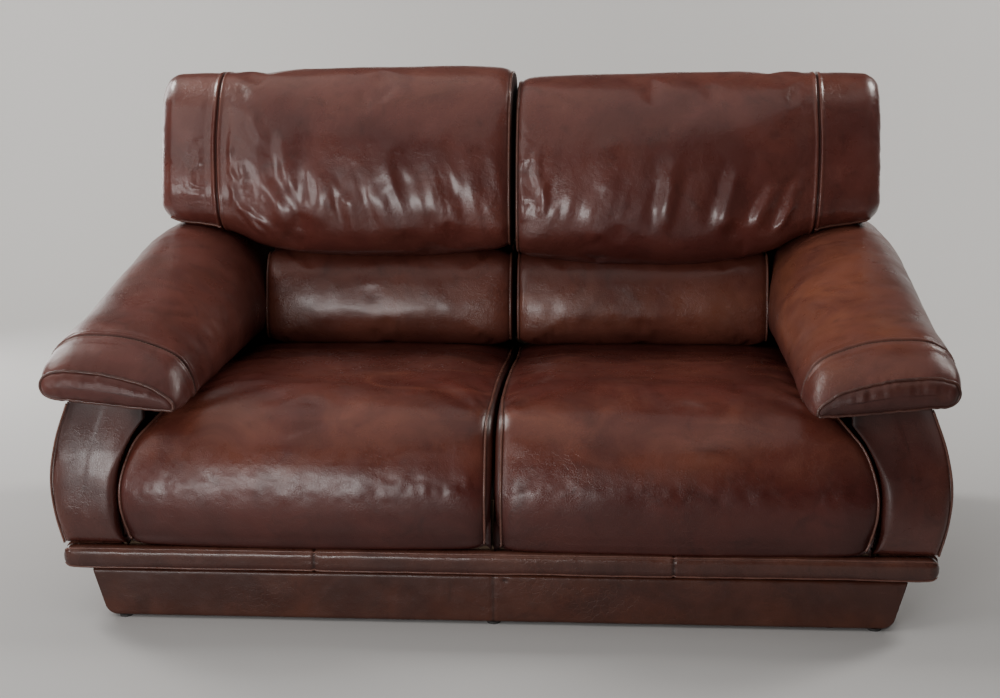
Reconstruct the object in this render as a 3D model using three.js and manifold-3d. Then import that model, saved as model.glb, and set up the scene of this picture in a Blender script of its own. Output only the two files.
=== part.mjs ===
// A worn two-seat leather sofa with padded arms, lumbar rolls and head cushions.
// Millimetres, +Z up. The sitter looks along -Y, and +X is on the right of someone facing the sofa.
// The origin is on the floor, under the middle of the overall box.

import * as THREE from 'three';
import { mergeVertices } from 'three/addons/utils/BufferGeometryUtils.js';
import Module from 'manifold-3d';

const wasm = await Module();
wasm.setup();

// Overall size
const HALF_WIDTH = 820;
const HALF_DEPTH = 460;
const HEIGHT = 968;
const CLEAR = 0.3;

// Plinth and belt moulding
const PLINTH_BOTTOM = 5;
const PLINTH_TOP = 95;
const PLINTH_TOP_HALF = 744;
const PLINTH_TAPER = 19;
const PLINTH_BOARD = 28;
const PLINTH_FRONT = -440;
const PLINTH_BACK = 424;
const GLIDE_RADIUS = 12;
const BLOCK_SIZE = 45;
const BELT_TOP = 140;
const BELT_HALF = 800;
const BELT_FRONT = -450;
const BELT_BULLNOSE = 14;

// Timber seat frame and its springs
const RAIL_HALF = 690;
const RAIL_THICK = 25;
const RAIL_TOP = 230;
const RAIL_FRONT = -415;
const RAIL_BACK = 391;
const SPRINGS_PER_SEAT = 4;
const SPRING_WIRE_RADIUS = 2;
const SPRING_SWING = 22;
const SPRING_WAVES = 9;
const SPRING_CROWN = 12;

// Cushions
const CENTRE_GAP = 8;
const SEAT_FRONT = -450;
const SEAT_BOTTOM = 250;
const SEAT_TOP = 408;
const SEAT_HALF = 688;
const PAD_BACK = 386;
const LUMBAR_BOTTOM = 391;
const LUMBAR_TOP = 590;
const LUMBAR_FRONT = 190;
const HEAD_BOTTOM = 593;
const HEAD_FRONT = 168;
const HEAD_HALF = 771;
const HEAD_LIP_BOTTOM = 880;

// Back frame
const POST_WIDTH = 45;
const POST_DEPTH = 41.7;
const POST_CENTRE = 512;
const TOP_RAIL_BOTTOM = 820;
const STRAP_WIDTH = 50;
const STRAP_THICK = 2.4;
const BACK_PANEL_FRONT = 438;

// Arms
const ARM_INNER = 692;
const ARM_BOARD_THICK = 18;
const ARM_BODY_TOP = 411;
const ARM_REAR_TOP = 498;
const ARM_RISE_START = -300;
const FACING_FRONT = -430;
const FACING_THICK = 26;
const FACING_INNER_TOP = 636;
const ARM_PAD_INNER = 556;
const ARM_PAD_BASE = 412;

function leatherMaterial(colour) {
  return new THREE.MeshStandardMaterial({ color: colour, roughness: 0.38, metalness: 0 });
}

function timberMaterial() {
  return new THREE.MeshStandardMaterial({ color: 0xb98f5e, roughness: 0.8, metalness: 0 });
}

function steelMaterial() {
  return new THREE.MeshStandardMaterial({ color: 0x7d8084, roughness: 0.4, metalness: 1 });
}

function clothMaterial(colour) {
  return new THREE.MeshStandardMaterial({ color: colour, roughness: 0.95, metalness: 0 });
}

function nylonMaterial() {
  return new THREE.MeshStandardMaterial({ color: 0x1c1b1a, roughness: 0.6, metalness: 0 });
}

function namedMesh(name, geometry, material) {
  const mesh = new THREE.Mesh(geometry, material);
  mesh.name = name;
  return mesh;
}

// A squared board between two limits on each axis, placed by its centre.
function board(name, x, y, z, material) {
  const geometry = new THREE.BoxGeometry(x[1] - x[0], y[1] - y[0], z[1] - z[0]);
  const mesh = namedMesh(name, geometry, material);
  mesh.position.set((x[0] + x[1]) / 2, (y[0] + y[1]) / 2, (z[0] + z[1]) / 2);
  return mesh;
}

// The limits of a span mirrored to one side of the sofa, low value first.
function sideSpan(side, near, far) {
  return side > 0 ? [near, far] : [-far, -near];
}

// A closed outline through given points: straight from point to point, or smooth where it says curve.
function outline(pieces) {
  const shape = new THREE.Shape();
  shape.moveTo(...pieces[0].points[0]);
  for (const piece of pieces) {
    const points = piece.points.map(([u, v]) => new THREE.Vector2(u, v));
    if (piece.curve) {
      shape.splineThru(points);
    } else {
      points.forEach((point) => shape.lineTo(point.x, point.y));
    }
  }
  shape.closePath();
  return shape;
}

function extruded(shape, length) {
  return new THREE.ExtrudeGeometry(shape, { depth: length, bevelEnabled: false, curveSegments: 2 });
}

// An outline in Y and Z carried along X from one limit to the other.
function prismAlongX(shape, x) {
  const geometry = extruded(shape, x[1] - x[0]);
  geometry.rotateY(Math.PI / 2);
  geometry.rotateX(Math.PI / 2);
  geometry.translate(x[0], 0, 0);
  return geometry;
}

// An outline in X and Z carried along Y from one limit to the other.
function prismAlongY(shape, y) {
  const geometry = extruded(shape, y[1] - y[0]);
  geometry.rotateX(Math.PI / 2);
  geometry.translate(0, y[1], 0);
  return geometry;
}

function solidFrom(geometry) {
  const bare = geometry.clone();
  bare.deleteAttribute('normal');
  bare.deleteAttribute('uv');
  const merged = mergeVertices(bare, 0.001);
  return new wasm.Manifold(new wasm.Mesh({
    numProp: 3,
    vertProperties: merged.attributes.position.array,
    triVerts: merged.index.array,
  }));
}

function geometryFrom(solid) {
  const mesh = solid.getMesh();
  const geometry = new THREE.BufferGeometry();
  geometry.setAttribute('position', new THREE.BufferAttribute(mesh.vertProperties, 3));
  geometry.setIndex(new THREE.BufferAttribute(mesh.triVerts, 1));
  geometry.computeVertexNormals();
  return geometry;
}

// What two prisms have in common: a pad that has one outline from the side and another from the front.
function padFrom(sideView, frontView) {
  return geometryFrom(solidFrom(sideView).intersect(solidFrom(frontView)));
}

// Outline points given for the right half, mirrored to one side.
function mirrored(side, points) {
  return points.map(([x, z]) => [side * x, z]);
}

// Plinth: four leather-wrapped boards, narrower at the floor, on nylon glides.
function plinthOutline() {
  const foot = PLINTH_TOP_HALF - PLINTH_TAPER;
  const corner = 14;
  const right = [[foot - corner, PLINTH_BOTTOM], [foot, PLINTH_BOTTOM + corner], [PLINTH_TOP_HALF, PLINTH_TOP]];
  const left = mirrored(-1, right).reverse();
  return outline([{ points: [...right, ...left] }]);
}

function plinthSideOutline(side) {
  const inner = PLINTH_TOP_HALF - PLINTH_BOARD;
  return outline([{
    points: mirrored(side, [
      [inner - PLINTH_TAPER, PLINTH_BOTTOM],
      [PLINTH_TOP_HALF - PLINTH_TAPER, PLINTH_BOTTOM],
      [PLINTH_TOP_HALF, PLINTH_TOP],
      [inner, PLINTH_TOP],
    ]),
  }]);
}

function buildPlinth() {
  const group = new THREE.Group();
  const frontSpan = [PLINTH_FRONT, PLINTH_FRONT + PLINTH_BOARD];
  const backSpan = [PLINTH_BACK - PLINTH_BOARD, PLINTH_BACK];
  const sideRun = [frontSpan[1] + CLEAR, backSpan[0] - CLEAR];
  group.add(namedMesh('plinth_front', prismAlongY(plinthOutline(), frontSpan), leatherMaterial(0x4a2219)));
  group.add(namedMesh('plinth_back', prismAlongY(plinthOutline(), backSpan), leatherMaterial(0x4a2219)));
  for (const [label, side] of [['left', -1], ['right', 1]]) {
    const wall = prismAlongY(plinthSideOutline(side), sideRun);
    group.add(namedMesh(`plinth_${label}`, wall, leatherMaterial(0x4a2219)));
    const blockOuter = PLINTH_TOP_HALF - PLINTH_BOARD - PLINTH_TAPER - 1;
    const blockX = sideSpan(side, blockOuter - BLOCK_SIZE, blockOuter);
    const blockZ = [PLINTH_BOTTOM + 3, PLINTH_TOP - 4];
    const blockFront = [sideRun[0], sideRun[0] + BLOCK_SIZE];
    const blockBack = [sideRun[1] - BLOCK_SIZE, sideRun[1]];
    group.add(board(`corner_block_front_${label}`, blockX, blockFront, blockZ, timberMaterial()));
    group.add(board(`corner_block_back_${label}`, blockX, blockBack, blockZ, timberMaterial()));
  }
  const glideHeight = PLINTH_BOTTOM - CLEAR;
  for (const [row, y] of [['front', PLINTH_FRONT + PLINTH_BOARD / 2], ['back', PLINTH_BACK - PLINTH_BOARD / 2]]) {
    for (const [place, x] of [['left', -RAIL_HALF], ['centre', 0], ['right', RAIL_HALF]]) {
      const glide = namedMesh(
        `glide_${row}_${place}`,
        new THREE.CylinderGeometry(GLIDE_RADIUS, GLIDE_RADIUS, glideHeight, 16),
        nylonMaterial(),
      );
      glide.rotation.x = Math.PI / 2;
      glide.position.set(x, y, glideHeight / 2);
      group.add(glide);
    }
  }
  return group;
}

// Belt: a bullnose moulding wrapped in leather, in three lengths that stand on the plinth.
function beltLength(name, x, y) {
  const nose = BELT_BULLNOSE;
  const shape = new THREE.Shape();
  shape.moveTo(x[0] + nose, y[0] + nose);
  shape.lineTo(x[1] - nose, y[0] + nose);
  shape.lineTo(x[1] - nose, y[1] - nose);
  shape.lineTo(x[0] + nose, y[1] - nose);
  shape.closePath();
  const thickness = BELT_TOP - PLINTH_TOP - CLEAR;
  const geometry = new THREE.ExtrudeGeometry(shape, {
    depth: thickness - 2 * nose,
    bevelEnabled: true,
    bevelThickness: nose,
    bevelSize: nose,
    bevelSegments: 3,
  });
  const mesh = namedMesh(name, geometry, leatherMaterial(0x4f251c));
  mesh.position.z = PLINTH_TOP + CLEAR + nose;
  return mesh;
}

function buildBelt() {
  const group = new THREE.Group();
  group.add(beltLength('belt_front', [-BELT_HALF, BELT_HALF], [BELT_FRONT, RAIL_FRONT - CLEAR]));
  for (const [label, side] of [['left', -1], ['right', 1]]) {
    const x = sideSpan(side, RAIL_HALF + CLEAR, BELT_HALF);
    group.add(beltLength(`belt_${label}`, x, [RAIL_FRONT, BACK_PANEL_FRONT - 1]));
  }
  return group;
}

// Seat frame: five timber rails, with sinuous steel springs stapled on top of the front and back rails.
function buildSeatFrame() {
  const group = new THREE.Group();
  const z = [PLINTH_TOP + CLEAR, RAIL_TOP];
  const front = [RAIL_FRONT, RAIL_FRONT + RAIL_THICK];
  const back = [RAIL_BACK - RAIL_THICK, RAIL_BACK];
  const between = [front[1] + CLEAR, back[0] - CLEAR];
  const full = [-RAIL_HALF, RAIL_HALF];
  const half = RAIL_THICK / 2;
  group.add(board('seat_rail_front', full, front, z, timberMaterial()));
  group.add(board('seat_rail_back', full, back, z, timberMaterial()));
  group.add(board('seat_rail_left', [-RAIL_HALF, -RAIL_HALF + RAIL_THICK], between, z, timberMaterial()));
  group.add(board('seat_rail_right', [RAIL_HALF - RAIL_THICK, RAIL_HALF], between, z, timberMaterial()));
  group.add(board('seat_rail_centre', [-half, half], between, z, timberMaterial()));
  group.add(board('dust_cover', full, between, [PLINTH_TOP - 3, PLINTH_TOP - 1], clothMaterial(0x161616)));
  return group;
}

// A sinuous spring runs from the front rail to the back rail, swinging from side to side as it goes,
// and its middle stands a little higher than its ends.
class SinuousCurve extends THREE.Curve {
  constructor(start, end) {
    super();
    this.start = start;
    this.end = end;
  }

  getPoint(t, target = new THREE.Vector3()) {
    const swing = SPRING_SWING * Math.sin(2 * Math.PI * SPRING_WAVES * t);
    const rise = 4 * SPRING_CROWN * t * (1 - t);
    return target.set(swing, this.start + t * (this.end - this.start), rise);
  }
}

function buildSprings() {
  const group = new THREE.Group();
  const wire = new THREE.Shape();
  wire.absarc(0, 0, SPRING_WIRE_RADIUS, 0, 2 * Math.PI, false);
  const path = new SinuousCurve(RAIL_FRONT + 14, RAIL_BACK - 14);
  const inner = RAIL_THICK / 2;
  const pitch = (RAIL_HALF - RAIL_THICK - inner) / SPRINGS_PER_SEAT;
  for (const [label, side] of [['left', -1], ['right', 1]]) {
    for (let i = 0; i < SPRINGS_PER_SEAT; i += 1) {
      const geometry = new THREE.ExtrudeGeometry(wire, {
        steps: 6 * SPRING_WAVES,
        curveSegments: 3,
        extrudePath: path,
      });
      const spring = namedMesh(`seat_spring_${label}_${i + 1}`, geometry, steelMaterial());
      spring.position.set(side * (inner + pitch * (i + 0.5)), 0, RAIL_TOP + SPRING_WIRE_RADIUS + CLEAR);
      group.add(spring);
    }
  }
  return group;
}

// Seat cushion: foam and fibre in a leather case. Its front rolls over the rail and drops to the belt.
function seatCushion(name, side) {
  const lipBack = RAIL_FRONT - 1;
  const sideView = outline([
    { points: [[lipBack, SEAT_BOTTOM], [lipBack, BELT_TOP + 1], [SEAT_FRONT + 6, BELT_TOP + 1]] },
    { curve: true, points: [[SEAT_FRONT, 200], [SEAT_FRONT + 3, 275], [-418, 352], [-350, 396], [-220, SEAT_TOP]] },
    { curve: true, points: [[-50, 405], [150, 390], [360, 376]] },
    { points: [[360, SEAT_BOTTOM]] },
  ]);
  const frontView = outline([
    { points: mirrored(side, [[CENTRE_GAP, BELT_TOP], [670, BELT_TOP]]) },
    { curve: true, points: mirrored(side, [[SEAT_HALF, 215], [684, 275], [655, 345], [610, 392], [560, SEAT_TOP]]) },
    { points: mirrored(side, [[CENTRE_GAP + 25, SEAT_TOP], [CENTRE_GAP, SEAT_TOP - 25]]) },
  ]);
  const span = sideSpan(side, 0, HALF_WIDTH);
  const geometry = padFrom(prismAlongX(sideView, span), prismAlongY(frontView, [-HALF_DEPTH, HALF_DEPTH]));
  return namedMesh(name, geometry, leatherMaterial(0x5c2d22));
}

// Lumbar cushion: a low roll that stands on the back of the seat.
function lumbarCushion(name, side) {
  const sideView = outline([
    { points: [[PAD_BACK, LUMBAR_BOTTOM], [LUMBAR_FRONT + 20, LUMBAR_BOTTOM]] },
    {
      curve: true,
      points: [
        [LUMBAR_FRONT + 4, 430],
        [LUMBAR_FRONT, 490],
        [LUMBAR_FRONT + 8, 555],
        [LUMBAR_FRONT + 34, LUMBAR_TOP],
      ],
    },
    { points: [[PAD_BACK, LUMBAR_TOP]] },
  ]);
  const frontView = outline([
    { points: mirrored(side, [[CENTRE_GAP, LUMBAR_BOTTOM], [505, LUMBAR_BOTTOM]]) },
    { curve: true, points: mirrored(side, [[527, 430], [540, 500], [545, LUMBAR_TOP]]) },
    { points: mirrored(side, [[CENTRE_GAP, LUMBAR_TOP]]) },
  ]);
  const span = sideSpan(side, 0, HALF_WIDTH);
  const geometry = padFrom(prismAlongX(sideView, span), prismAlongY(frontView, [0, HALF_DEPTH]));
  return namedMesh(name, geometry, leatherMaterial(0x4c251d));
}

// Head cushion: leans back, folds over the top rail, and its outer end sits on the arm.
function headCushion(name, side) {
  const sideView = outline([
    { points: [[PAD_BACK, HEAD_LIP_BOTTOM], [PAD_BACK, HEAD_BOTTOM], [HEAD_FRONT + 30, HEAD_BOTTOM]] },
    {
      curve: true,
      points: [
        [HEAD_FRONT + 4, 635],
        [HEAD_FRONT, 715],
        [HEAD_FRONT + 30, 860],
        [HEAD_FRONT + 72, 932],
        [HEAD_FRONT + 135, 965],
        [360, HEIGHT],
      ],
    },
    { curve: true, points: [[415, 960], [448, 925], [452, HEAD_LIP_BOTTOM]] },
  ]);
  const frontView = outline([
    { points: mirrored(side, [[CENTRE_GAP, HEAD_BOTTOM - 1], [505, HEAD_BOTTOM - 1]]) },
    { curve: true, points: mirrored(side, [[552, 598], [600, 622], [640, 642], [735, 657]]) },
    { curve: true, points: mirrored(side, [[762, 668], [HEAD_HALF, 700]]) },
    { points: mirrored(side, [[HEAD_HALF, 920]]) },
    { curve: true, points: mirrored(side, [[758, 955], [720, HEIGHT]]) },
    { points: mirrored(side, [[CENTRE_GAP + 10, HEIGHT], [CENTRE_GAP, HEIGHT - 12]]) },
  ]);
  const span = sideSpan(side, 0, HALF_WIDTH);
  const geometry = padFrom(prismAlongX(sideView, span), prismAlongY(frontView, [0, HALF_DEPTH]));
  return namedMesh(name, geometry, leatherMaterial(0x57291f));
}

// Back frame: three posts, a top rail, two lumbar rails and four webbing straps, closed by padded ends
// and the leather outside back.
function buildBackFrame() {
  const group = new THREE.Group();
  const y = [RAIL_BACK + CLEAR, RAIL_BACK + CLEAR + POST_DEPTH];
  const half = POST_WIDTH / 2;
  for (const [place, x] of [['left', -POST_CENTRE], ['centre', 0], ['right', POST_CENTRE]]) {
    const z = [PLINTH_TOP + CLEAR, TOP_RAIL_BOTTOM - CLEAR];
    group.add(board(`back_post_${place}`, [x - half, x + half], y, z, timberMaterial()));
  }
  const endInner = 735;
  const endOuter = 765;
  const railZ = [TOP_RAIL_BOTTOM, HEAD_LIP_BOTTOM - 3];
  group.add(board('back_top_rail', [-endInner + CLEAR, endInner - CLEAR], y, railZ, timberMaterial()));
  for (const [label, side] of [['left', -1], ['right', 1]]) {
    const lumbarX = sideSpan(side, half + CLEAR, POST_CENTRE - half - CLEAR);
    group.add(board(`lumbar_rail_${label}`, lumbarX, y, [430, 490], timberMaterial()));
    [150, 380].forEach((x, i) => {
      const strapX = [side * x - STRAP_WIDTH / 2, side * x + STRAP_WIDTH / 2];
      const strapY = [RAIL_BACK - STRAP_THICK, RAIL_BACK];
      group.add(board(`back_strap_${label}_${i + 1}`, strapX, strapY, [432, 872], clothMaterial(0x2b2622)));
    });
    const endX = sideSpan(side, endInner, endOuter);
    const endY = [PAD_BACK + 1.5, BACK_PANEL_FRONT - 0.5];
    group.add(board(`back_end_${label}`, endX, endY, [642, HEAD_LIP_BOTTOM - 2], leatherMaterial(0x4a2219)));
  }
  const rightEdge = [[797, PLINTH_TOP + 1], [797, BELT_TOP]];
  const swell = [[812, 215], [816, 270], [800, 350], [778, 412]];
  const shoulder = [[776, 640], [768, 700], [768, HEAD_LIP_BOTTOM - 2]];
  const backShape = outline([
    { points: rightEdge },
    { curve: true, points: swell },
    { points: [...shoulder, ...mirrored(-1, shoulder).reverse(), ...mirrored(-1, swell.slice(-1))] },
    { curve: true, points: [...mirrored(-1, swell.slice(0, -1)).reverse(), [-rightEdge[1][0], rightEdge[1][1]]] },
    { points: mirrored(-1, rightEdge.slice(0, 1)) },
  ]);
  const backPanel = prismAlongY(backShape, [BACK_PANEL_FRONT, HALF_DEPTH]);
  group.add(namedMesh('outside_back', backPanel, leatherMaterial(0x4a2219)));
  return group;
}

// The swelling outer edge of an arm's front and side, from the belt up to the height where the pad sits.
const ARM_FOOT = [797, BELT_TOP + 1];
const ARM_SWELL = [[810, 190], [816, 262], [803, 335], [776, 410]];

// The facing's inner edge follows the shoulder of the seat cushion that presses against it.
function facingOutline(side, top) {
  return outline([
    { points: mirrored(side, [[ARM_INNER + 1, BELT_TOP + 1], ARM_FOOT]) },
    { curve: true, points: mirrored(side, ARM_SWELL) },
    { points: mirrored(side, [[774, top], [FACING_INNER_TOP, top], [FACING_INNER_TOP, top - 35]]) },
    { curve: true, points: mirrored(side, [[662, 348], [ARM_INNER - 3, 278], [ARM_INNER + 1, 215]]) },
  ]);
}

function armSideOutline(side, inner, top) {
  return outline([
    { points: mirrored(side, [[inner, BELT_TOP + 1], ARM_FOOT]) },
    { curve: true, points: mirrored(side, ARM_SWELL) },
    { points: mirrored(side, [[774, top], [inner, top]]) },
  ]);
}

// The arm pad is lofted through rings across the arm. Each ring is flat below and rounded above:
// a superellipse, so that its shoulders are fuller than an ellipse's.
function armPadRing(side, station) {
  const arcSteps = 10;
  const fullness = 2 / 2.5;
  const middle = (station.inner + station.outer) / 2;
  const halfWidth = (station.outer - station.inner) / 2;
  const foot = ARM_PAD_BASE + station.edge;
  const ring = [];
  for (let i = 0; i <= arcSteps; i += 1) {
    const angle = Math.PI * (1 - i / arcSteps);
    const across = Math.sign(Math.cos(angle)) * Math.abs(Math.cos(angle)) ** fullness;
    const up = Math.abs(Math.sin(angle)) ** fullness;
    ring.push(new THREE.Vector3(side * (middle + halfWidth * across), station.y, foot + (station.top - foot) * up));
  }
  ring.push(new THREE.Vector3(side * (station.outer - station.edge), station.y, ARM_PAD_BASE));
  ring.push(new THREE.Vector3(side * (station.inner + station.edge), station.y, ARM_PAD_BASE));
  return side > 0 ? ring : ring.reverse();
}

// A closed skin through a row of rings that run clockwise seen from the front, with flat ends.
function loft(rings) {
  const count = rings[0].length;
  const positions = rings.flat().flatMap((point) => point.toArray());
  const indices = [];
  for (let r = 0; r < rings.length - 1; r += 1) {
    for (let k = 0; k < count; k += 1) {
      const a = r * count + k;
      const b = r * count + ((k + 1) % count);
      indices.push(a, b, a + count, b, b + count, a + count);
    }
  }
  const last = (rings.length - 1) * count;
  for (let k = 1; k < count - 1; k += 1) {
    indices.push(0, k + 1, k);
    indices.push(last, last + k, last + k + 1);
  }
  const geometry = new THREE.BufferGeometry();
  geometry.setAttribute('position', new THREE.Float32BufferAttribute(positions, 3));
  geometry.setIndex(indices);
  return geometry;
}

function armPad(name, side) {
  const rear = BACK_PANEL_FRONT - 1;
  const stations = [
    { y: -HALF_DEPTH, top: 466, inner: 582, outer: 810, edge: 8 },
    { y: -449, top: 476, inner: 570, outer: 817, edge: 14 },
    { y: -420, top: 497, inner: 562, outer: HALF_WIDTH, edge: 18 },
    { y: -365, top: 518, inner: ARM_PAD_INNER, outer: HALF_WIDTH, edge: 20 },
    { y: -200, top: 543, inner: ARM_PAD_INNER, outer: 818, edge: 20 },
    { y: 80, top: 598, inner: ARM_PAD_INNER, outer: 814, edge: 20 },
    { y: 205, top: 638, inner: ARM_PAD_INNER, outer: 810, edge: 20 },
    { y: rear, top: 640, inner: ARM_PAD_INNER, outer: 808, edge: 20 },
  ];
  const whole = solidFrom(loft(stations.map((station) => armPadRing(side, station))));
  const undercut = outline([{
    points: [
      [-500, ARM_PAD_BASE - 100],
      [500, ARM_PAD_BASE - 100],
      [500, ARM_REAR_TOP + 2],
      [PAD_BACK, ARM_REAR_TOP + 2],
      [ARM_RISE_START, ARM_BODY_TOP + 2],
      [-500, ARM_BODY_TOP + 2],
    ],
  }]);
  const cutter = solidFrom(prismAlongX(undercut, sideSpan(side, ARM_INNER, HALF_WIDTH + 100)));
  return namedMesh(name, geometryFrom(whole.subtract(cutter)), leatherMaterial(0x69372a));
}

// Arm: a timber board bolted to the seat frame, a padded facing, a padded outer side and the arm pad.
function buildArm(label, side) {
  const group = new THREE.Group();
  const rear = BACK_PANEL_FRONT - 1;
  const facingBack = FACING_FRONT + FACING_THICK;
  const boardX = sideSpan(side, ARM_INNER + 1, ARM_INNER + 1 + ARM_BOARD_THICK);
  const boardZ = [BELT_TOP + 1, ARM_BODY_TOP - 5];
  group.add(board(`arm_board_${label}`, boardX, [facingBack + 1, rear], boardZ, timberMaterial()));
  const facing = prismAlongY(facingOutline(side, ARM_BODY_TOP - 0.5), [FACING_FRONT, facingBack]);
  group.add(namedMesh(`arm_facing_${label}`, facing, leatherMaterial(0x532820)));
  const flank = outline([{
    points: [
      [facingBack + CLEAR, BELT_TOP + 1],
      [rear, BELT_TOP + 1],
      [rear, ARM_REAR_TOP],
      [PAD_BACK, ARM_REAR_TOP],
      [ARM_RISE_START, ARM_BODY_TOP],
      [facingBack + CLEAR, ARM_BODY_TOP],
    ],
  }]);
  const sideInner = ARM_INNER + ARM_BOARD_THICK + 2;
  const flankPrism = prismAlongX(flank, sideSpan(side, 0, HALF_WIDTH));
  const sectionPrism = prismAlongY(armSideOutline(side, sideInner, ARM_REAR_TOP), [-HALF_DEPTH, HALF_DEPTH]);
  group.add(namedMesh(`arm_side_${label}`, padFrom(flankPrism, sectionPrism), leatherMaterial(0x4a2219)));
  group.add(armPad(`arm_pad_${label}`, side));
  return group;
}

const group = new THREE.Group();
group.add(buildPlinth());
group.add(buildBelt());
group.add(buildSeatFrame());
group.add(buildSprings());
group.add(buildBackFrame());
for (const [label, side] of [['left', -1], ['right', 1]]) {
  group.add(buildArm(label, side));
  group.add(seatCushion(`seat_cushion_${label}`, side));
  group.add(lumbarCushion(`lumbar_cushion_${label}`, side));
  group.add(headCushion(`head_cushion_${label}`, side));
}

export default group;
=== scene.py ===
"""A worn two-seat leather sofa: padded arms that overhang their facings, lumbar rolls, head cushions
that fold over the back, a belt moulding and a recessed plinth. Metres, +Z up, the front faces -Y."""

import itertools
import math

import bpy
import numpy as np
from mathutils import Matrix, Vector


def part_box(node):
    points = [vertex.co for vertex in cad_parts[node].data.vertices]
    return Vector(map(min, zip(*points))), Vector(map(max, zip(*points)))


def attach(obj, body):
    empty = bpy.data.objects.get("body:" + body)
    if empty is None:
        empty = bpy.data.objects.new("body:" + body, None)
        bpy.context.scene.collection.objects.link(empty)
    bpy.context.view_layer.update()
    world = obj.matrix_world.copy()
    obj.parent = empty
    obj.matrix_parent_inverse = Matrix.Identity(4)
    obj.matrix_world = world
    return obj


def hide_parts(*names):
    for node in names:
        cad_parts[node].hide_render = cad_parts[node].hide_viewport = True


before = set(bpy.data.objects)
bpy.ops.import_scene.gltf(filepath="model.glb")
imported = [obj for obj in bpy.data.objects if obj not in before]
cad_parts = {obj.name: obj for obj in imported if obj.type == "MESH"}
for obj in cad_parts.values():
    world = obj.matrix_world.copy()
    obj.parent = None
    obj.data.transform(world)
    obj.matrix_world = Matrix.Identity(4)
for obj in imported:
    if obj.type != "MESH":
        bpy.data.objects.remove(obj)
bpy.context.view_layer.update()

# ---------------------------------------------------------------------------------------------------
# Setting: a pale paper sweep, which is the floor and curves up into a wall behind, soft studio light,
# and a camera a little above the back, in front and to the right of the middle. None of this belongs
# to the sofa.

camera_data = bpy.data.cameras.new("camera")
camera_data.lens = 57.6
camera_data.sensor_width = 36.0
camera = bpy.data.objects.new("camera", camera_data)
bpy.context.scene.collection.objects.link(camera)
CAMERA_TURN, CAMERA_DIP, CAMERA_ROLL = (math.radians(a) for a in (4.315, 12.0, -0.5))
camera.matrix_world = (
    Matrix.Translation((0.2246, -3.1937, 1.1035))
    @ Matrix.Rotation(CAMERA_TURN, 4, "Z")
    @ Matrix.Rotation(math.pi / 2 - CAMERA_DIP, 4, "X")
    @ Matrix.Rotation(CAMERA_ROLL, 4, "Z")
)
bpy.context.scene.camera = camera

world = bpy.data.worlds.new("studio")
world.use_nodes = True
world.node_tree.nodes["Background"].inputs["Color"].default_value = (1.0, 0.985, 0.97, 1)
world.node_tree.nodes["Background"].inputs["Strength"].default_value = 0.07
bpy.context.scene.world = world

SWEEP_TURN = 2.5
SWEEP_RADIUS = 1.5
turn = np.linspace(0, math.pi / 2, 40)
sweep_y = np.concatenate([[-12.0], SWEEP_TURN + SWEEP_RADIUS * np.sin(turn), [SWEEP_TURN + SWEEP_RADIUS]])
sweep_z = np.concatenate([[0.0], SWEEP_RADIUS * (1 - np.cos(turn)), [1.8]])
sweep_points = [(x, y, z) for x in (-7.0, 7.0) for y, z in zip(sweep_y, sweep_z)]
strips = len(sweep_y)
floor_mesh = bpy.data.meshes.new("floor")
floor_mesh.from_pydata(sweep_points, [], [(i, i + strips, i + strips + 1, i + 1) for i in range(strips - 1)])
floor_mesh.polygons.foreach_set("use_smooth", np.ones(strips - 1, bool))
floor = bpy.data.objects.new("floor", floor_mesh)
bpy.context.scene.collection.objects.link(floor)
floor_paint = bpy.data.materials.new("pale_floor")
floor_paint.use_nodes = True
floor_shader = floor_paint.node_tree.nodes["Principled BSDF"]
floor_shader.inputs["Base Color"].default_value = (0.58, 0.575, 0.57, 1)
floor_shader.inputs["Roughness"].default_value = 0.9
floor_shader.inputs["Specular IOR Level"].default_value = 0.1
floor_mesh.materials.append(floor_paint)


LAMPLIGHT = (1.0, 0.97, 0.93)
DAYLIGHT = (1.0, 0.98, 0.97)


def studio_light(name, place, target, width, height, watts, colour=LAMPLIGHT):
    """A rectangular soft light at one point, turned to face another."""
    data = bpy.data.lights.new(name, "AREA")
    data.shape = "RECTANGLE"
    data.size, data.size_y = width, height
    data.energy = watts
    data.color = colour
    light = bpy.data.objects.new(name, data)
    bpy.context.scene.collection.objects.link(light)
    back = Vector(place) - Vector(target)
    light.matrix_world = Matrix.Translation(place) @ back.to_track_quat("Z", "Y").to_matrix().to_4x4()


studio_light("overhead", (-0.7, -0.5, 3.3), (-0.1, 0.1, 0.3), 5.4, 4.0, 46)
studio_light("high_left", (-3.3, -2.0, 2.6), (0.0, 0.0, 0.5), 2.4, 1.8, 22)
studio_light("window_upper", (-1.15, -3.45, 0.84), (-0.5, 0.0, 0.6), 1.4, 0.52, 36, DAYLIGHT)
studio_light("window_lower", (-1.15, -3.45, 0.3), (-0.5, 0.0, 0.5), 1.4, 0.24, 4, DAYLIGHT)
studio_light("window_side", (-3.2, -2.4, 1.05), (-0.6, 0.0, 0.7), 1.1, 0.7, 20, DAYLIGHT)
studio_light("rim_left", (-2.3, 1.5, 1.1), (-0.75, 0.2, 0.7), 0.8, 1.4, 16, DAYLIGHT)
studio_light("right_fill", (3.0, -1.6, 2.2), (0.3, 0.0, 0.6), 1.2, 1.2, 0.8)
studio_light("backdrop_left", (-3.2, 1.6, 3.2), (-0.5, 3.6, 0.6), 2.0, 1.0, 120)
studio_light("backdrop_right", (3.2, 1.6, 3.2), (0.5, 3.6, 0.6), 2.0, 1.0, 120)

# ---------------------------------------------------------------------------------------------------
# Plinth: four boards wrapped in flat leather, glued and stapled underneath. The front one has a
# closed seam at its middle, where two hides meet, and is scuffed along the floor.


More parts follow.
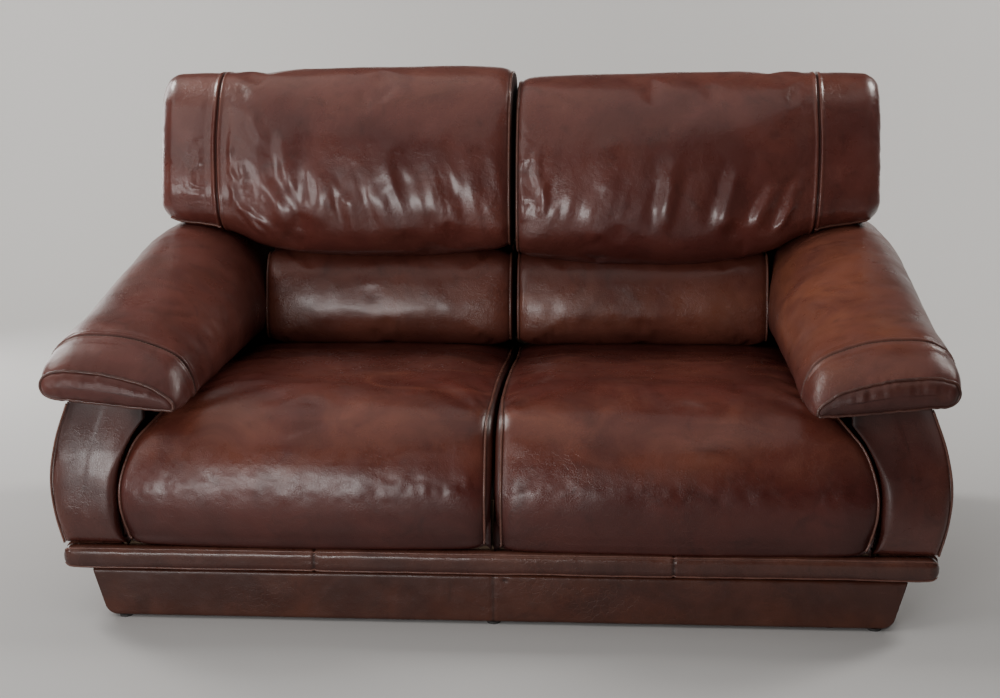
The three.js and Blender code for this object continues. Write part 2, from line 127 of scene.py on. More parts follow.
def eased(at, knots, values):
    """Values between knots on a smooth curve. Between two knots it is the cubic that has the knots'
    values, and at each knot the slope of the line through its neighbours."""
    at, knots, values = (np.asarray(a, float) for a in (at, knots, values))
    slopes = np.gradient(values, knots, axis=0)
    low = np.clip(np.searchsorted(knots, at, side="right") - 1, 0, len(knots) - 2)
    tail = [1] * (values.ndim - 1)
    step = (knots[low + 1] - knots[low]).reshape(-1, *tail)
    t = ((at - knots[low]) / (knots[low + 1] - knots[low])).reshape(-1, *tail)
    return (
        (2 * t**3 - 3 * t**2 + 1) * values[low]
        + (t**3 - 2 * t**2 + t) * step * slopes[low]
        + (3 * t**2 - 2 * t**3) * values[low + 1]
        + (t**3 - t**2) * step * slopes[low + 1]
    )


def lengths_along(points):
    """Distance run along a line of points, from 0 at the first."""
    return np.concatenate([[0.0], np.cumsum(np.linalg.norm(np.diff(points, axis=0), axis=1))])


def evenly(points, count):
    """The same line with that many points, evenly spaced. The last point is left out, so that the
    next stretch of an outline starts there."""
    run = lengths_along(points)
    at = np.linspace(0, run[-1], count, endpoint=False)
    return np.stack([np.interp(at, run, points[:, k]) for k in range(points.shape[1])], axis=1)


def curve_through(points, count):
    """A smooth open curve through the points, evenly spaced, without its last point."""
    points = np.asarray(points, float)
    run = lengths_along(points)
    return evenly(eased(np.linspace(0, run[-1], 8 * count), run, points), count)


def straight_through(points, count):
    """Straight lines from point to point, evenly spaced, without the last point."""
    return evenly(np.asarray(points, float), count)


def outward(loop):
    """Unit directions out of a closed outline, at right angles to it. The sign of the area that it
    encloses tells which way it runs."""
    following = np.roll(loop, -1, axis=0)
    area = np.sum(loop[:, 0] * following[:, 1] - following[:, 0] * loop[:, 1])
    ahead = following - np.roll(loop, 1, axis=0)
    out = np.stack([ahead[:, 1], -ahead[:, 0]], axis=1) * np.sign(area)
    return out / np.maximum(np.linalg.norm(out, axis=1), 1e-9)[:, None]


def soft_noise(points, size, seed):
    """Smooth random values from -1 to 1. Each point of a cubic lattice has a random value from its
    own place, and between them the values are blended by smoothstep on each axis."""
    scaled = points / size
    cell = np.floor(scaled).astype(np.int64)
    part = scaled - cell
    part = part * part * (3 - 2 * part)
    total = np.zeros(points.shape[:-1])
    for corner in itertools.product((0, 1), repeat=3):
        at = cell + corner
        mixed = at[..., 0] * 73856093 ^ at[..., 1] * 19349663 ^ at[..., 2] * 83492791 ^ seed * 2654435
        mixed = (mixed ^ (mixed >> 13)) * 1274126177 & 0xFFFFFFFF
        value = ((mixed ^ (mixed >> 15)) & 0xFFFF) / 32767.5 - 1
        total += value * np.prod(np.where(corner, part, 1 - part), axis=-1)
    return total


def crumple(points, size, seed):
    """Sharp little ridges, from 0 to about 1, where smooth noise passes through zero."""
    return np.exp(-((soft_noise(points, size, seed) / 0.16) ** 2))


def placed(name, points, faces, material):
    """A smooth-shaded piece of the sofa from its points and faces."""
    mesh = bpy.data.meshes.new(name)
    mesh.from_pydata(points.tolist(), [], faces)
    mesh.polygons.foreach_set("use_smooth", np.ones(len(faces), bool))
    mesh.materials.append(material)
    piece = bpy.data.objects.new(name, mesh)
    bpy.context.scene.collection.objects.link(piece)
    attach(piece, "root")
    return piece


def grid_quads(count, loop, closed=False):
    """Quads that join neighbouring rows of a grid of points, each row a closed loop. When closed,
    the last row is joined to the first as well."""
    base = np.arange(count if closed else count - 1)[:, None]
    following = (base + 1) % count
    k = np.arange(loop)
    beside = (k + 1) % loop
    corners = [base * loop + k, base * loop + beside, following * loop + beside, following * loop + k]
    return np.stack(corners, -1).reshape(-1, 4)


def loft_faces(rows):
    """The faces of a closed skin over a grid of points: the quads between its rows, then one flat face
    over the first row and one over the last. All are turned round if the volume that they enclose
    comes out negative."""
    count, loop = rows.shape[:2]
    points = rows.reshape(-1, 3)
    quads = grid_quads(count, loop)
    a, b, c, d = (points[quads[:, i]] for i in range(4))
    volume = np.sum(np.cross(a, b) * c) + np.sum(np.cross(a, c) * d)
    k = np.arange(loop)
    faces = quads.tolist() + [k[::-1].tolist(), ((count - 1) * loop + k).tolist()]
    return [face[::-1] for face in faces] if volume < 0 else faces


def skin(name, rows, material):
    """A closed leather skin over a grid of points, each row of which is a closed loop."""
    return placed(name, rows.reshape(-1, 3), loft_faces(rows), material)


def paint(piece, wear_and_light, grime_and_shade, crumpled):
    """Keeps three values from 0 to 1 a point on the piece, for its leather to read: wear with some
    painted light, grime with some painted shade, and crumpling. Each is an array over the points, or
    one number for all of them."""
    for name, values in (("wear_and_light", wear_and_light), ("grime_and_shade", grime_and_shade), ("crumpled", crumpled)):
        attribute = piece.data.attributes.new(name, "FLOAT", "POINT")
        values = np.clip(values, 0, 1).astype(np.float32).ravel()
        attribute.data.foreach_set("value", np.resize(values, len(piece.data.vertices)))


def peak(value, centre, width):
    """A smooth bell over a value: 1 at the centre, and 1/e one width to either side of it."""
    return np.exp(-(((value - centre) / width) ** 2))


def fading(distance, reach):
    """1 where the distance is 0, and smaller by 1/e for each reach further off."""
    return np.exp(-distance / reach)


def ramp(distance, reach):
    """0 up to distance 0, then a straight climb to 1 at the reach, and 1 beyond it."""
    return np.clip(distance / reach, 0, 1)


def aged_leather(name, deep, middle, wear_and_light, gloss=0.33, lumps=0.35, clouds=5.0, polish=0.3):
    """Aniline leather gone glossy with use. Clouds of two colours, the base and a paler worn one where
    the piece's wear value is high, which is wear and on some pieces painted light, fine creases that
    net the surface, pale hairline scratches, and a dark colour where its grime value is high, which is
    grime and on some pieces painted shade. Pores, creases and lumps also raise the surface, and the
    lumps are strongest where crumpled is high."""
    material = bpy.data.materials.new(name)
    material.use_nodes = True
    tree = material.node_tree
    tree.nodes.clear()

    def put(kind, inputs=None, **settings):
        node = tree.nodes.new(kind)
        for key, value in settings.items():
            setattr(node, key, value)
        for key, value in (inputs or {}).items():
            socket = node.inputs[key]
            if isinstance(value, bpy.types.NodeSocket):
                tree.links.new(value, socket)
            else:
                socket.default_value = value
        return node

    def mix(factor, first, second, blend="MIX"):
        node = put("ShaderNodeMix", data_type="RGBA", blend_type=blend)
        for index, value in ((0, factor), (6, first), (7, second)):
            if isinstance(value, bpy.types.NodeSocket):
                tree.links.new(value, node.inputs[index])
            else:
                node.inputs[index].default_value = value
        return node.outputs[2]

    def between(value, low, high, to_low=0.0, to_high=1.0):
        given = {"Value": value, "From Min": low, "From Max": high, "To Min": to_low, "To Max": to_high}
        return put("ShaderNodeMapRange", given, interpolation_type="SMOOTHSTEP").outputs[0]

    def sum_of(first, second, operation="ADD"):
        return put("ShaderNodeMath", {0: first, 1: second}, operation=operation).outputs[0]

    def noise(scale, detail, place, roughness=0.55, distortion=0.0):
        given = {"Vector": place, "Scale": scale, "Detail": detail, "Roughness": roughness}
        given["Distortion"] = distortion
        return put("ShaderNodeTexNoise", given).outputs["Fac"]

    def value_of(attribute):
        return put("ShaderNodeAttribute", attribute_name=attribute).outputs["Fac"]

    place = put("ShaderNodeTexCoord").outputs["Object"]
    cloud = between(noise(clouds, 5.0, place, 0.6, 0.6), 0.36, 0.66)
    colour = mix(cloud, (*deep, 1), (*middle, 1))
    blotch = between(noise(17.0, 7.0, place, 0.62, 0.9), 0.52, 0.72, 0.0, 0.5)
    colour = mix(blotch, colour, (*(0.55 * c for c in deep), 1))

    patch = between(noise(8.5, 6.0, place, 0.65, 0.8), 0.3, 0.7, 0.25, 1.0)
    # Paler, towards the worn colour, where the wear value is high: wear, and on some pieces painted light.
    worn_and_lit = sum_of(value_of("wear_and_light"), patch, "MULTIPLY")
    colour = mix(worn_and_lit, colour, (*wear_and_light, 1))

    bend = put("ShaderNodeTexNoise", {"Vector": place, "Scale": 30.0, "Detail": 3.0}).outputs["Color"]
    bent = mix(0.018, place, bend, "LINEAR_LIGHT")
    net = put(
        "ShaderNodeTexVoronoi", {"Vector": bent, "Scale": 62.0}, feature="DISTANCE_TO_EDGE"
    ).outputs["Distance"]
    crease_place = between(noise(6.0, 4.0, place), 0.45, 0.68)
    crease = sum_of(between(net, 0.0, 0.07, 1.0, 0.0), crease_place, "MULTIPLY")
    colour = mix(sum_of(crease, 0.06, "MULTIPLY"), colour, (*(1.5 * c for c in wear_and_light), 1))

    streaked = put("ShaderNodeMapping", {"Vector": place, "Rotation": (0.5, 0.35, 0.3), "Scale": (6, 40, 95)})
    scratch = between(noise(3.2, 5.0, streaked.outputs[0], 0.7), 0.66, 0.73, 0.0, 0.16)
    colour = mix(scratch, colour, (0.42, 0.27, 0.2, 1))
    # Darkened towards a deep brown where the grime value is high: grime, and on some pieces painted shade.
    colour = mix(sum_of(value_of("grime_and_shade"), 0.85, "MULTIPLY"), colour, (*(0.16 * c for c in deep), 1))

    pore = put("ShaderNodeTexVoronoi", {"Vector": place, "Scale": 560.0}).outputs["Distance"]
    wave = sum_of(noise(58.0, 6.0, place, 0.6, 0.7), noise(24.0, 3.0, place, 0.5, 1.2))
    swell = sum_of(sum_of(value_of("crumpled"), 0.14), sum_of(wave, lumps, "MULTIPLY"), "MULTIPLY")
    height = sum_of(swell, sum_of(pore, 0.035, "MULTIPLY"))
    height = sum_of(height, sum_of(crease, -0.03, "MULTIPLY"))
    bump = put("ShaderNodeBump", {"Height": height, "Distance": 0.006, "Strength": 0.85})

    rough = between(noise(21.0, 5.0, place), 0.3, 0.7, gloss - 0.06, gloss + 0.1)
    rough = sum_of(rough, sum_of(value_of("grime_and_shade"), 0.25, "MULTIPLY"))
    shader = put(
        "ShaderNodeBsdfPrincipled",
        {"Base Color": colour, "Roughness": rough, "Normal": bump.outputs[0]},
    )
    shader.inputs["Coat Weight"].default_value = polish
    shader.inputs["Coat Roughness"].default_value = 0.17
    shader.inputs["Specular IOR Level"].default_value = 0.36
    output = put("ShaderNodeOutputMaterial")
    tree.links.new(shader.outputs[0], output.inputs["Surface"])
    return material


# A darker copy of the leather for the plinth: the extra darkness is painted shade.
plinth_leather = aged_leather(
    "plinth_leather", (0.042, 0.0115, 0.0075), (0.074, 0.021, 0.012), (0.19, 0.066, 0.036),
    gloss=0.36, clouds=7.0, polish=0.15,
)


def rounded_slab_loop(low, high, radius, count):
    """A rectangle with round corners, from its lowest and highest corners, anticlockwise."""
    angle = np.radians(180 + 90 * np.arange(4)[:, None] + 15 * np.arange(7))
    centre_u = np.array([low[0] + radius, high[0] - radius, high[0] - radius, low[0] + radius])
    centre_v = np.array([low[1] + radius, low[1] + radius, high[1] - radius, high[1] - radius])
    u, v = centre_u[:, None] + radius * np.cos(angle), centre_v[:, None] + radius * np.sin(angle)
    loop = np.stack([u, v], -1).reshape(-1, 2)
    return evenly(np.vstack([loop, loop[:1]]), count)


def prism(section, along, axis=1):
    """A grid of points: the same section, in the other two axes, at each place along one axis."""
    shape = (len(along), len(section))
    first, second = (np.broadcast_to(section[:, k], shape) for k in (0, 1))
    coordinates = [first, second]
    coordinates.insert(axis, np.broadcast_to(along[:, None], shape))
    return np.stack(coordinates, -1)


PLINTH_TAPER = 0.0255  # each end leans out by this share of the half width, from foot to top
PLINTH_CORNER = 0.024  # radius of the front board's bottom corners
SLAB_EDGE = 0.005

for node in ("plinth_front", "plinth_back"):
    low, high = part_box(node)
    section = rounded_slab_loop((low.y, low.z), (high.y, high.z), SLAB_EDGE, 72)
    along = np.sin(np.linspace(-math.pi / 2, math.pi / 2, 361)) * high.x
    along = 0.35 * along + 0.65 * np.linspace(-high.x, high.x, 361)
    rise = (section[:, 1] - low.z) / (high.z - low.z)
    from_end = ramp(high.x - np.abs(along), PLINTH_CORNER)[:, None]
    lift = PLINTH_CORNER * (1 - np.sqrt(np.clip(1 - (1 - from_end) ** 2, 0, 1)))
    rows = prism(section, along, axis=0)
    rows[..., 0] *= 1 - PLINTH_TAPER * (1 - rise)
    rows[..., 2] = low.z + (section[:, 1] - low.z) * (1 - lift / (high.z - low.z)) + lift
    x, y, z = np.moveaxis(rows, -1, 0)
    puff = 0.0009 * soft_noise(rows, 0.06, 3) + 0.0005 * soft_noise(rows, 0.018, 4)
    puff = puff + 0.0012 * np.sin(math.pi * rise) ** 0.5
    puff = puff + 0.0007 * fading(np.abs(x), 0.02) * soft_noise(rows * (0.3, 1, 1), 0.007, 5)
    puff = puff - 0.0017 * peak(x, 0, 0.0022)
    hole = np.exp(-(np.hypot(x - 0.022, z - 0.086) / 0.0035) ** 4) * (node == "plinth_front")
    puff = puff - 0.003 * hole
    out = outward(section)
    y += out[:, 0] * puff
    z += out[:, 1] * puff * (rise > 0.05)
    np.maximum(z, low.z, out=z)
    board = skin(f"{node}_cover", rows, plinth_leather)
    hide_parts(node)
    # Scuffed paler along the floor; darker along the middle seam and towards the bottom, and the little hole
    # darkened as painted shade.
    scuff = fading(z - low.z, 0.02) + 0.5 * fading(high.z - z, 0.006)
    dirt_and_shade = 0.5 * peak(x, 0, 0.0025) + 0.4 * fading(z - low.z, 0.012) + hole
    paint(board, 0.45 * scuff, dirt_and_shade, 0.15 + 0.5 * fading(np.abs(x), 0.03))

for node, side in (("plinth_left", -1), ("plinth_right", 1)):
    low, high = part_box(node)
    foot = PLINTH_TAPER * max(-low.x, high.x)
    inner, outer = (low.x + foot, high.x) if side > 0 else (low.x, high.x - foot)
    section = rounded_slab_loop((inner, low.z), (outer, high.z), SLAB_EDGE, 64)
    rows = prism(section, np.linspace(low.y, high.y, 201))
    rows[..., 0] -= side * foot * (1 - (section[:, 1] - low.z) / (high.z - low.z))
    rows[..., 0] += outward(section)[:, 0] * 0.0009 * soft_noise(rows, 0.05, 6)
    board = skin(f"{node}_cover", rows, plinth_leather)
    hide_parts(node)
    above = rows[..., 2] - low.z
    paint(board, 0.45 * fading(above, 0.02), 0.4 * fading(above, 0.012), 0.15)

# ---------------------------------------------------------------------------------------------------
# Belt: a padded moulding in three lengths, wrapped in leather and screwed on above the plinth. Its
# front has two closed seams with small puckers, and its ends are rounded.

# A darker copy of the leather for the belt: the extra darkness is painted shade.
belt_shaded_leather = aged_leather(
    "belt_shaded_leather", (0.04, 0.0115, 0.0088), (0.066, 0.0195, 0.0135), (0.24, 0.095, 0.06),
    gloss=0.26, clouds=7.0,
)
low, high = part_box("belt_front")
BELT_SEAM = 0.409 * high.x
BELT_END = 0.021
BELT_ROUND = 0.015
section = rounded_slab_loop((low.y, low.z), (high.y, high.z), BELT_ROUND, 84)
along = np.concatenate([
    -high.x + BELT_END * (1 - np.cos(np.linspace(0.08, math.pi / 2, 14))),
    np.linspace(-high.x + BELT_END, high.x - BELT_END, 603)[1:-1],
    high.x - BELT_END * (1 - np.cos(np.linspace(math.pi / 2, 0.08, 14))),
])
shrink = np.sqrt(np.clip(1 - (1 - ramp(high.x - np.abs(along), BELT_END)) ** 2, 0, 1))[:, None]
middle = section.mean(axis=0)
belt_rows = prism(section, along, axis=0)
x, y, z = np.moveaxis(belt_rows, -1, 0)
y[:] = high.y + (section[:, 0] - high.y) * (0.35 + 0.65 * shrink)
z[:] = middle[1] + (section[:, 1] - middle[1]) * np.maximum(shrink, 0.05)
off_seam = np.minimum(np.abs(x - BELT_SEAM), np.abs(x + BELT_SEAM))
puff = 0.0011 * soft_noise(belt_rows, 0.09, 11) + 0.0004 * soft_noise(belt_rows, 0.02, 12)
puff = puff + 0.0011 * fading(off_seam, 0.014) * soft_noise(belt_rows * (0.35, 1, 1), 0.006, 13)
puff = puff - 0.0028 * peak(off_seam, 0, 0.0022)
belt_out = outward(section)
y += belt_out[:, 0] * puff
z += belt_out[:, 1] * puff
belt = skin("belt_front_cover", belt_rows, belt_shaded_leather)
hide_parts("belt_front")
# Paler along the top front edge; darker at the seams, and darker over the top and back, under the seat, as
# painted shade.
paint(
    belt,
    0.6 * fading(np.hypot(y - low.y, z - high.z), 0.012),
    0.8 * peak(off_seam, 0, 0.0025) + 0.3 * (y > low.y + 0.02),
    0.12 + 0.6 * fading(off_seam, 0.03),
)

for node in ("belt_left", "belt_right"):
    low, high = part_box(node)
    section = rounded_slab_loop((low.x, low.z), (high.x, high.z), BELT_ROUND, 72)
    rows = prism(section, np.linspace(low.y, high.y, 221))
    rows[..., 0] += outward(section)[:, 0] * 0.0009 * soft_noise(rows, 0.08, 14)
    belt = skin(f"{node}_cover", rows, belt_shaded_leather)
    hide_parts(node)
    paint(belt, 0.5 * fading(high.z - rows[..., 2], 0.01), 0.0, 0.12)

# ---------------------------------------------------------------------------------------------------
# Seats: two thick cushions of foam wrapped in wadding. One long panel of leather runs from the
# lumbar roll over the front and down to the belt, sewn to the side gussets with piping. The panels
# have stretched, so they lie in shallow creases, and the right one sags lower over the belt.


HANDS = (("left", -1), ("right", 1))


def inset(loop, by):
    """The outline moved inward by a distance, which can differ from point to point."""
    return loop - outward(loop) * np.reshape(by, (-1, 1))


def stations(count):
    """Fractions from 0 to 1 across a panel, closer together near both of its sewn edges."""
    t = np.linspace(0, 1, count)
    return t - 0.55 * np.sin(2 * math.pi * t) / (2 * math.pi)


def grid_normals(rows):
    """Unit normals of a grid of closed loops, outward. Each is the cross product of the grid's two
    directions, turned so that most of them point away from the middle of their loop."""
    lengthwise = np.gradient(rows, axis=0)
    around = np.roll(rows, -1, axis=1) - np.roll(rows, 1, axis=1)
    normal = np.cross(lengthwise, around)
    normal /= np.maximum(np.linalg.norm(normal, axis=-1, keepdims=True), 1e-12)
    away = rows - rows.mean(axis=1, keepdims=True)
    return normal if np.sum(normal * away) > 0 else -normal


def billowed(rows, held, pressure, slack, reach, stiffness):
    """The same grid after its filling has pushed the leather out. A cloth on every second row and
    point is pumped up for 20 frames, and held fast where held is true. slack is the share by which the
    leather has stretched, and stiffness its resistance to bending. Each point's movement, at most
    reach, is then spread over the grid by the average of its neighbours."""
    coarse = rows[::2, ::2]
    points = coarse.reshape(-1, 3)
    mesh = bpy.data.meshes.new("trial")
    mesh.from_pydata(points.tolist(), [], loft_faces(coarse))
    trial = bpy.data.objects.new("trial", mesh)
    bpy.context.scene.collection.objects.link(trial)
    group = trial.vertex_groups.new(name="sewn")
    group.add(np.flatnonzero(held[::2, ::2].ravel()).tolist(), 1.0, "REPLACE")
    cloth = trial.modifiers.new("leather", "CLOTH")
    cloth.settings.vertex_group_mass = "sewn"
    cloth.settings.quality = 5
    cloth.settings.mass = 0.4
    cloth.settings.air_damping = 4
    cloth.settings.tension_stiffness = cloth.settings.compression_stiffness = 22
    cloth.settings.shear_stiffness = 9
    cloth.settings.bending_stiffness = stiffness
    cloth.settings.shrink_min = -slack
    cloth.settings.use_pressure = True
    cloth.settings.uniform_pressure_force = pressure
    cloth.settings.effector_weights.gravity = 0
    cloth.collision_settings.use_collision = False
    cloth.point_cache.frame_start, cloth.point_cache.frame_end = 1, 20
    for number in range(1, 21):
        bpy.context.scene.frame_set(number)
    pumped = trial.evaluated_get(bpy.context.evaluated_depsgraph_get()).data
    moved = np.empty(len(points) * 3)
    pumped.vertices.foreach_get("co", moved)
    moved = moved.reshape(points.shape) - points
    length = np.linalg.norm(moved, axis=1, keepdims=True)
    moved *= np.minimum(1, reach / np.maximum(length, 1e-9))
    moved = moved.reshape(coarse.shape)
    bpy.data.objects.remove(trial)
    bpy.data.meshes.remove(mesh)
    bpy.context.scene.frame_set(1)
    tall = np.empty((len(rows), *coarse.shape[1:]))
    tall[::2] = moved
    tall[1::2] = (moved[:-1] + moved[1:]) / 2
    spread = np.empty(rows.shape)
    spread[:, ::2] = tall
    spread[:, 1::2] = (tall + np.roll(tall, -1, axis=1)) / 2
    return rows + spread


def creased(rows, normals, start, end, width, height, seed=0):
    """One crease in the leather from start to end: a ridge of that height with a hollow beside it,
    fading at both ends, and wandering a little to either side."""
    start, end = np.asarray(start, float), np.asarray(end, float)
    ahead = end - start
    length = np.linalg.norm(ahead)
    ahead = ahead / length
    offset = rows - start
    run = offset @ ahead
    facing = normals.reshape(-1, 3)[np.argmin(np.sum((rows - (start + end) / 2) ** 2, -1))]
    aside = np.cross(ahead, facing)
    aside /= np.linalg.norm(aside)
    wander = 0.35 * width * soft_noise(np.stack([run, run * 0, run * 0], -1), 3 * width, seed)
    off = (offset @ aside + wander) / width
    depth = (offset @ facing) / max(3 * width, 0.03)
    fade = np.exp(-np.maximum(0, np.abs(2 * run / length - 1) - 0.45) ** 2 / 0.07) * np.exp(-(depth**4))
    shape = np.exp(-(off**2)) - 0.55 * np.exp(-((off - 1.5) ** 2)) - 0.2 * np.exp(-((off + 1.7) ** 2))
    return normals * (height * fade * shape)[..., None]


def rope(name, path, out, radius, material, closed=True, sides=10):
    """A round bead that follows a path. out is the direction off the cushion at each point; the ring
    at each point stands square to the path."""
    ahead = np.roll(path, -1, axis=0) - np.roll(path, 1, axis=0)
    if not closed:
        ahead[0], ahead[-1] = path[1] - path[0], path[-1] - path[-2]
    ahead /= np.maximum(np.linalg.norm(ahead, axis=1, keepdims=True), 1e-9)
    side = np.cross(ahead, out)
    side /= np.maximum(np.linalg.norm(side, axis=1, keepdims=True), 1e-9)
    up = np.cross(side, ahead)
    turn = np.linspace(0, 2 * math.pi, sides, endpoint=False)[:, None]
    radius = np.reshape(radius, (-1, 1, 1))
    rings = path[:, None] + radius * (np.cos(turn) * side[:, None] + np.sin(turn) * up[:, None])
    count = len(path)
    faces = grid_quads(count, sides, closed).tolist()
    if not closed:
        j = np.arange(sides)
        faces += [j[::-1].tolist(), ((count - 1) * sides + j).tolist()]
    points = rings.reshape(-1, 3)
    a, b, _, d = points[faces[0]]
    if np.dot(np.cross(b - a, d - a), a - path[0]) < 0:
        faces = [face[::-1] for face in faces]
    return placed(name, points, faces, material)


def gusset(row, outer, steps, swell=1.0):
    """Rows that close the sewn end of a cushion, from its last row inward. Each step is a distance in
    from that row's outline and a distance past it along X, which swell scales."""
    return np.array([
        np.column_stack([row[:, 0] + outer * past * swell, inset(row[:, 1:], depth)]) for depth, past in steps
    ])


def piped_edge(name, rows, normals, row, outer):
    """Piping along one row of a cushion, leaning out over the cushion's end."""
    lean = normals[row] + np.array((outer * 0.5, 0, 0))
    lean /= np.linalg.norm(lean, axis=1, keepdims=True)
    bead = rope(name, rows[row] + lean * 0.0016, lean, PIPING_RADIUS, piping_leather)
    paint(bead, *PIPING_WEAR)


seat_leather = aged_leather(
    "seat_leather", (0.064, 0.0135, 0.0105), (0.1, 0.0225, 0.0165), (0.21, 0.066, 0.04),
    gloss=0.29, lumps=0.15, polish=0.14,
)
piping_leather = aged_leather(
    "piping_leather", (0.07, 0.022, 0.016), (0.12, 0.042, 0.03), (0.3, 0.14, 0.1), gloss=0.26, clouds=20.0
)

PIPING_RADIUS = 0.0026
PIPING_WEAR = (0.35, 0.1, 0.0)  # rubbed, grimed and crumpled

for edge, tilt in (("top", 1.0), ("foot", -0.8)):
    column = int(np.argmax(tilt * belt_out[:, 1] - belt_out[:, 0]))
    path = belt_rows[6:-6, column]
    lean = np.tile((0.0, *belt_out[column]), (len(path), 1))
    bead = rope(
        f"belt_{edge}_piping", path + lean * 0.0004, lean, 0.0017, piping_leather, closed=False
    )
    paint(bead, 0.4, 0.15, 0.0)

SEAT_SHOULDER = 0.011  # how far the leather rises from a sewn edge, close to it
SEAT_BELLY = 0.006  # and how much further over the whole width
SEAT_SIDE = 0.6  # half width of the sofa inside the arms
SEAT_GUSSET = ((0.002, 0.0035), (0.005, 0.006), (0.009, 0.0075), (0.0125, 0.008))
SEAT_EDGE_Z = (0.14, 0.215, 0.275, 0.345, 0.39, 0.405)
SEAT_EDGE_X = (0.668, 0.685, 0.683, 0.656, 0.62, 0.605)

for hand, side in HANDS:
    low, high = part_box(f"seat_cushion_{hand}")
    gap = min(abs(low.x), abs(high.x))
    front, back = low.y, high.y
    sag = 0.004 if side < 0 else 0.007
    under = [(back, 0.262), (back - 0.01, 0.252), (-0.402, 0.252), (-0.414, 0.24), (-0.416, 0.15)]
    under += [(-0.42, 0.143 - sag / 2)]
    face = [(-0.428, 0.1405 - sag), (-0.441, 0.145 - sag), (-0.448, 0.165), (front, 0.196)]
    face += [(front, 0.222), (front + 0.003, 0.245), (front + 0.0105, 0.271), (-0.4255, 0.308)]
    face += [(-0.402, 0.357), (-0.366, 0.384), (-0.31, 0.401), (-0.22, 0.4082)]
    face += [(-0.05, 0.405), (0.15, 0.387), (0.33, 0.373), (back - 0.004, 0.362)]
    loop = np.vstack([
        straight_through(under + face[:1], 66),
        curve_through(face, 250),
        straight_through([face[-1], (back, 0.35), under[0]], 20),
    ])
    y, z = loop.T
    on_face = (np.arange(len(loop)) >= 62) & (np.arange(len(loop)) <= 318)
    beside_arm = eased(np.clip(z, SEAT_EDGE_Z[0], SEAT_EDGE_Z[-1]), SEAT_EDGE_Z, SEAT_EDGE_X)
    outer_edge = np.where(y < -0.3, beside_arm, SEAT_SIDE)
    forward = ramp(-0.3 - y, 0.08)
    inner_edge = gap + 0.003 + 0.005 * forward
    u = stations(141)[:, None]
    width = outer_edge - inner_edge
    from_edge = np.minimum(u, 1 - u) * width
    crown = SEAT_SHOULDER * (1 - fading(from_edge, 0.013)) + SEAT_BELLY * np.sin(math.pi * u) ** 0.7
    crown = (crown - SEAT_SHOULDER - SEAT_BELLY) * on_face
    out = outward(loop)
    panel = np.stack([inner_edge + width * u, y + out[:, 0] * crown, z + out[:, 1] * crown], -1)
    hollow = peak(panel[..., 0], 0.33, 0.2) * peak(panel[..., 1], -0.06, 0.22)
    panel[..., 2] -= 0.009 * hollow * (panel[..., 2] > 0.3)
    inner_end = gusset(panel[0], -1, SEAT_GUSSET, 1 + 0.65 * forward)
    rows = np.concatenate([inner_end[::-1], panel, gusset(panel[-1], 1, SEAT_GUSSET)])
    held = np.ones(rows.shape[:2], bool)
    held[6:-6, 74:306] = False  # free from just above the belt over the front and most of the top
    rows = billowed(rows, held, 1.6, 0.0, 0.006, 14.0)
    rows[..., 0] *= side
    normals = grid_normals(rows)
    sway = 0.0014 * soft_noise(rows, 0.13, 21) + 0.0005 * soft_noise(rows, 0.04, 22)
    ripple = 0.0012 * soft_noise(rows * (1, 1, 0.5), 0.024, 24) + 0.0007 * soft_noise(rows, 0.011, 25)
    sway = sway + ripple * peak(rows[..., 2], 0.256, 0.026) * (rows[..., 1] < -0.35)
    rows += normals * (sway * ~held)[..., None]
    cushion = skin(f"seat_{hand}_cover", rows, seat_leather)
    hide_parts(f"seat_cushion_{hand}")
    x, y, z = np.moveaxis(rows, -1, 0)
    near_seam = np.pad(from_edge, ((4, 4), (0, 0)))
    # Paler where sat on and over the front shoulder: wear, and on the shoulder also painted light.
    wear_and_lit = 0.85 * peak(y, -0.4, 0.09) * ramp(z - 0.26, 0.05)
    wear_and_lit = wear_and_lit + 0.35 * peak(np.abs(x), 0.3, 0.2) * peak(y, -0.15, 0.2)
    veins = crumple(rows * (0.7, 1.2, 1), 0.07, 26) * np.clip(0.5 + soft_noise(rows, 0.11, 27), 0, 1)
    veins = veins * (z > 0.36) * (y > -0.38)
    # Painted shade: darker low on the front and at the back under the lumbar roll, beside the seams' own dark
    # lines.
    low_front = ramp(0.25 - z, 0.1) * (y < -0.3)
    paint(
        cushion,
        wear_and_lit * (0.6 + 0.4 * soft_noise(rows, 0.09, 23)) + 0.45 * veins,
        0.55 * fading(near_seam, 0.004) + 0.35 * (y > 0.14) + 0.5 * low_front,
        0.25 + 0.6 * fading(near_seam, 0.05),
    )
    piped_edge(f"seat_{hand}_inner_piping", rows, normals, 4, -side)
    piped_edge(f"seat_{hand}_outer_piping", rows, normals, -5, side)

# ---------------------------------------------------------------------------------------------------
# Lumbar rolls: two low cushions of wadding that stand on the seats and are pushed in between the
# arms. Their ends are closed by small gussets with piping. The leather is lined by being leant on.

lumbar_leather = aged_leather(
    "lumbar_leather", (0.076, 0.0195, 0.014), (0.122, 0.0335, 0.023), (0.23, 0.08, 0.046),
    gloss=0.3, lumps=0.2, clouds=6.0, polish=0.22,
)
LUMBAR_SHOULDER = 0.012
LUMBAR_GUSSET = ((0.0025, 0.003), (0.006, 0.0048), (0.012, 0.0058), (0.02, 0.006))

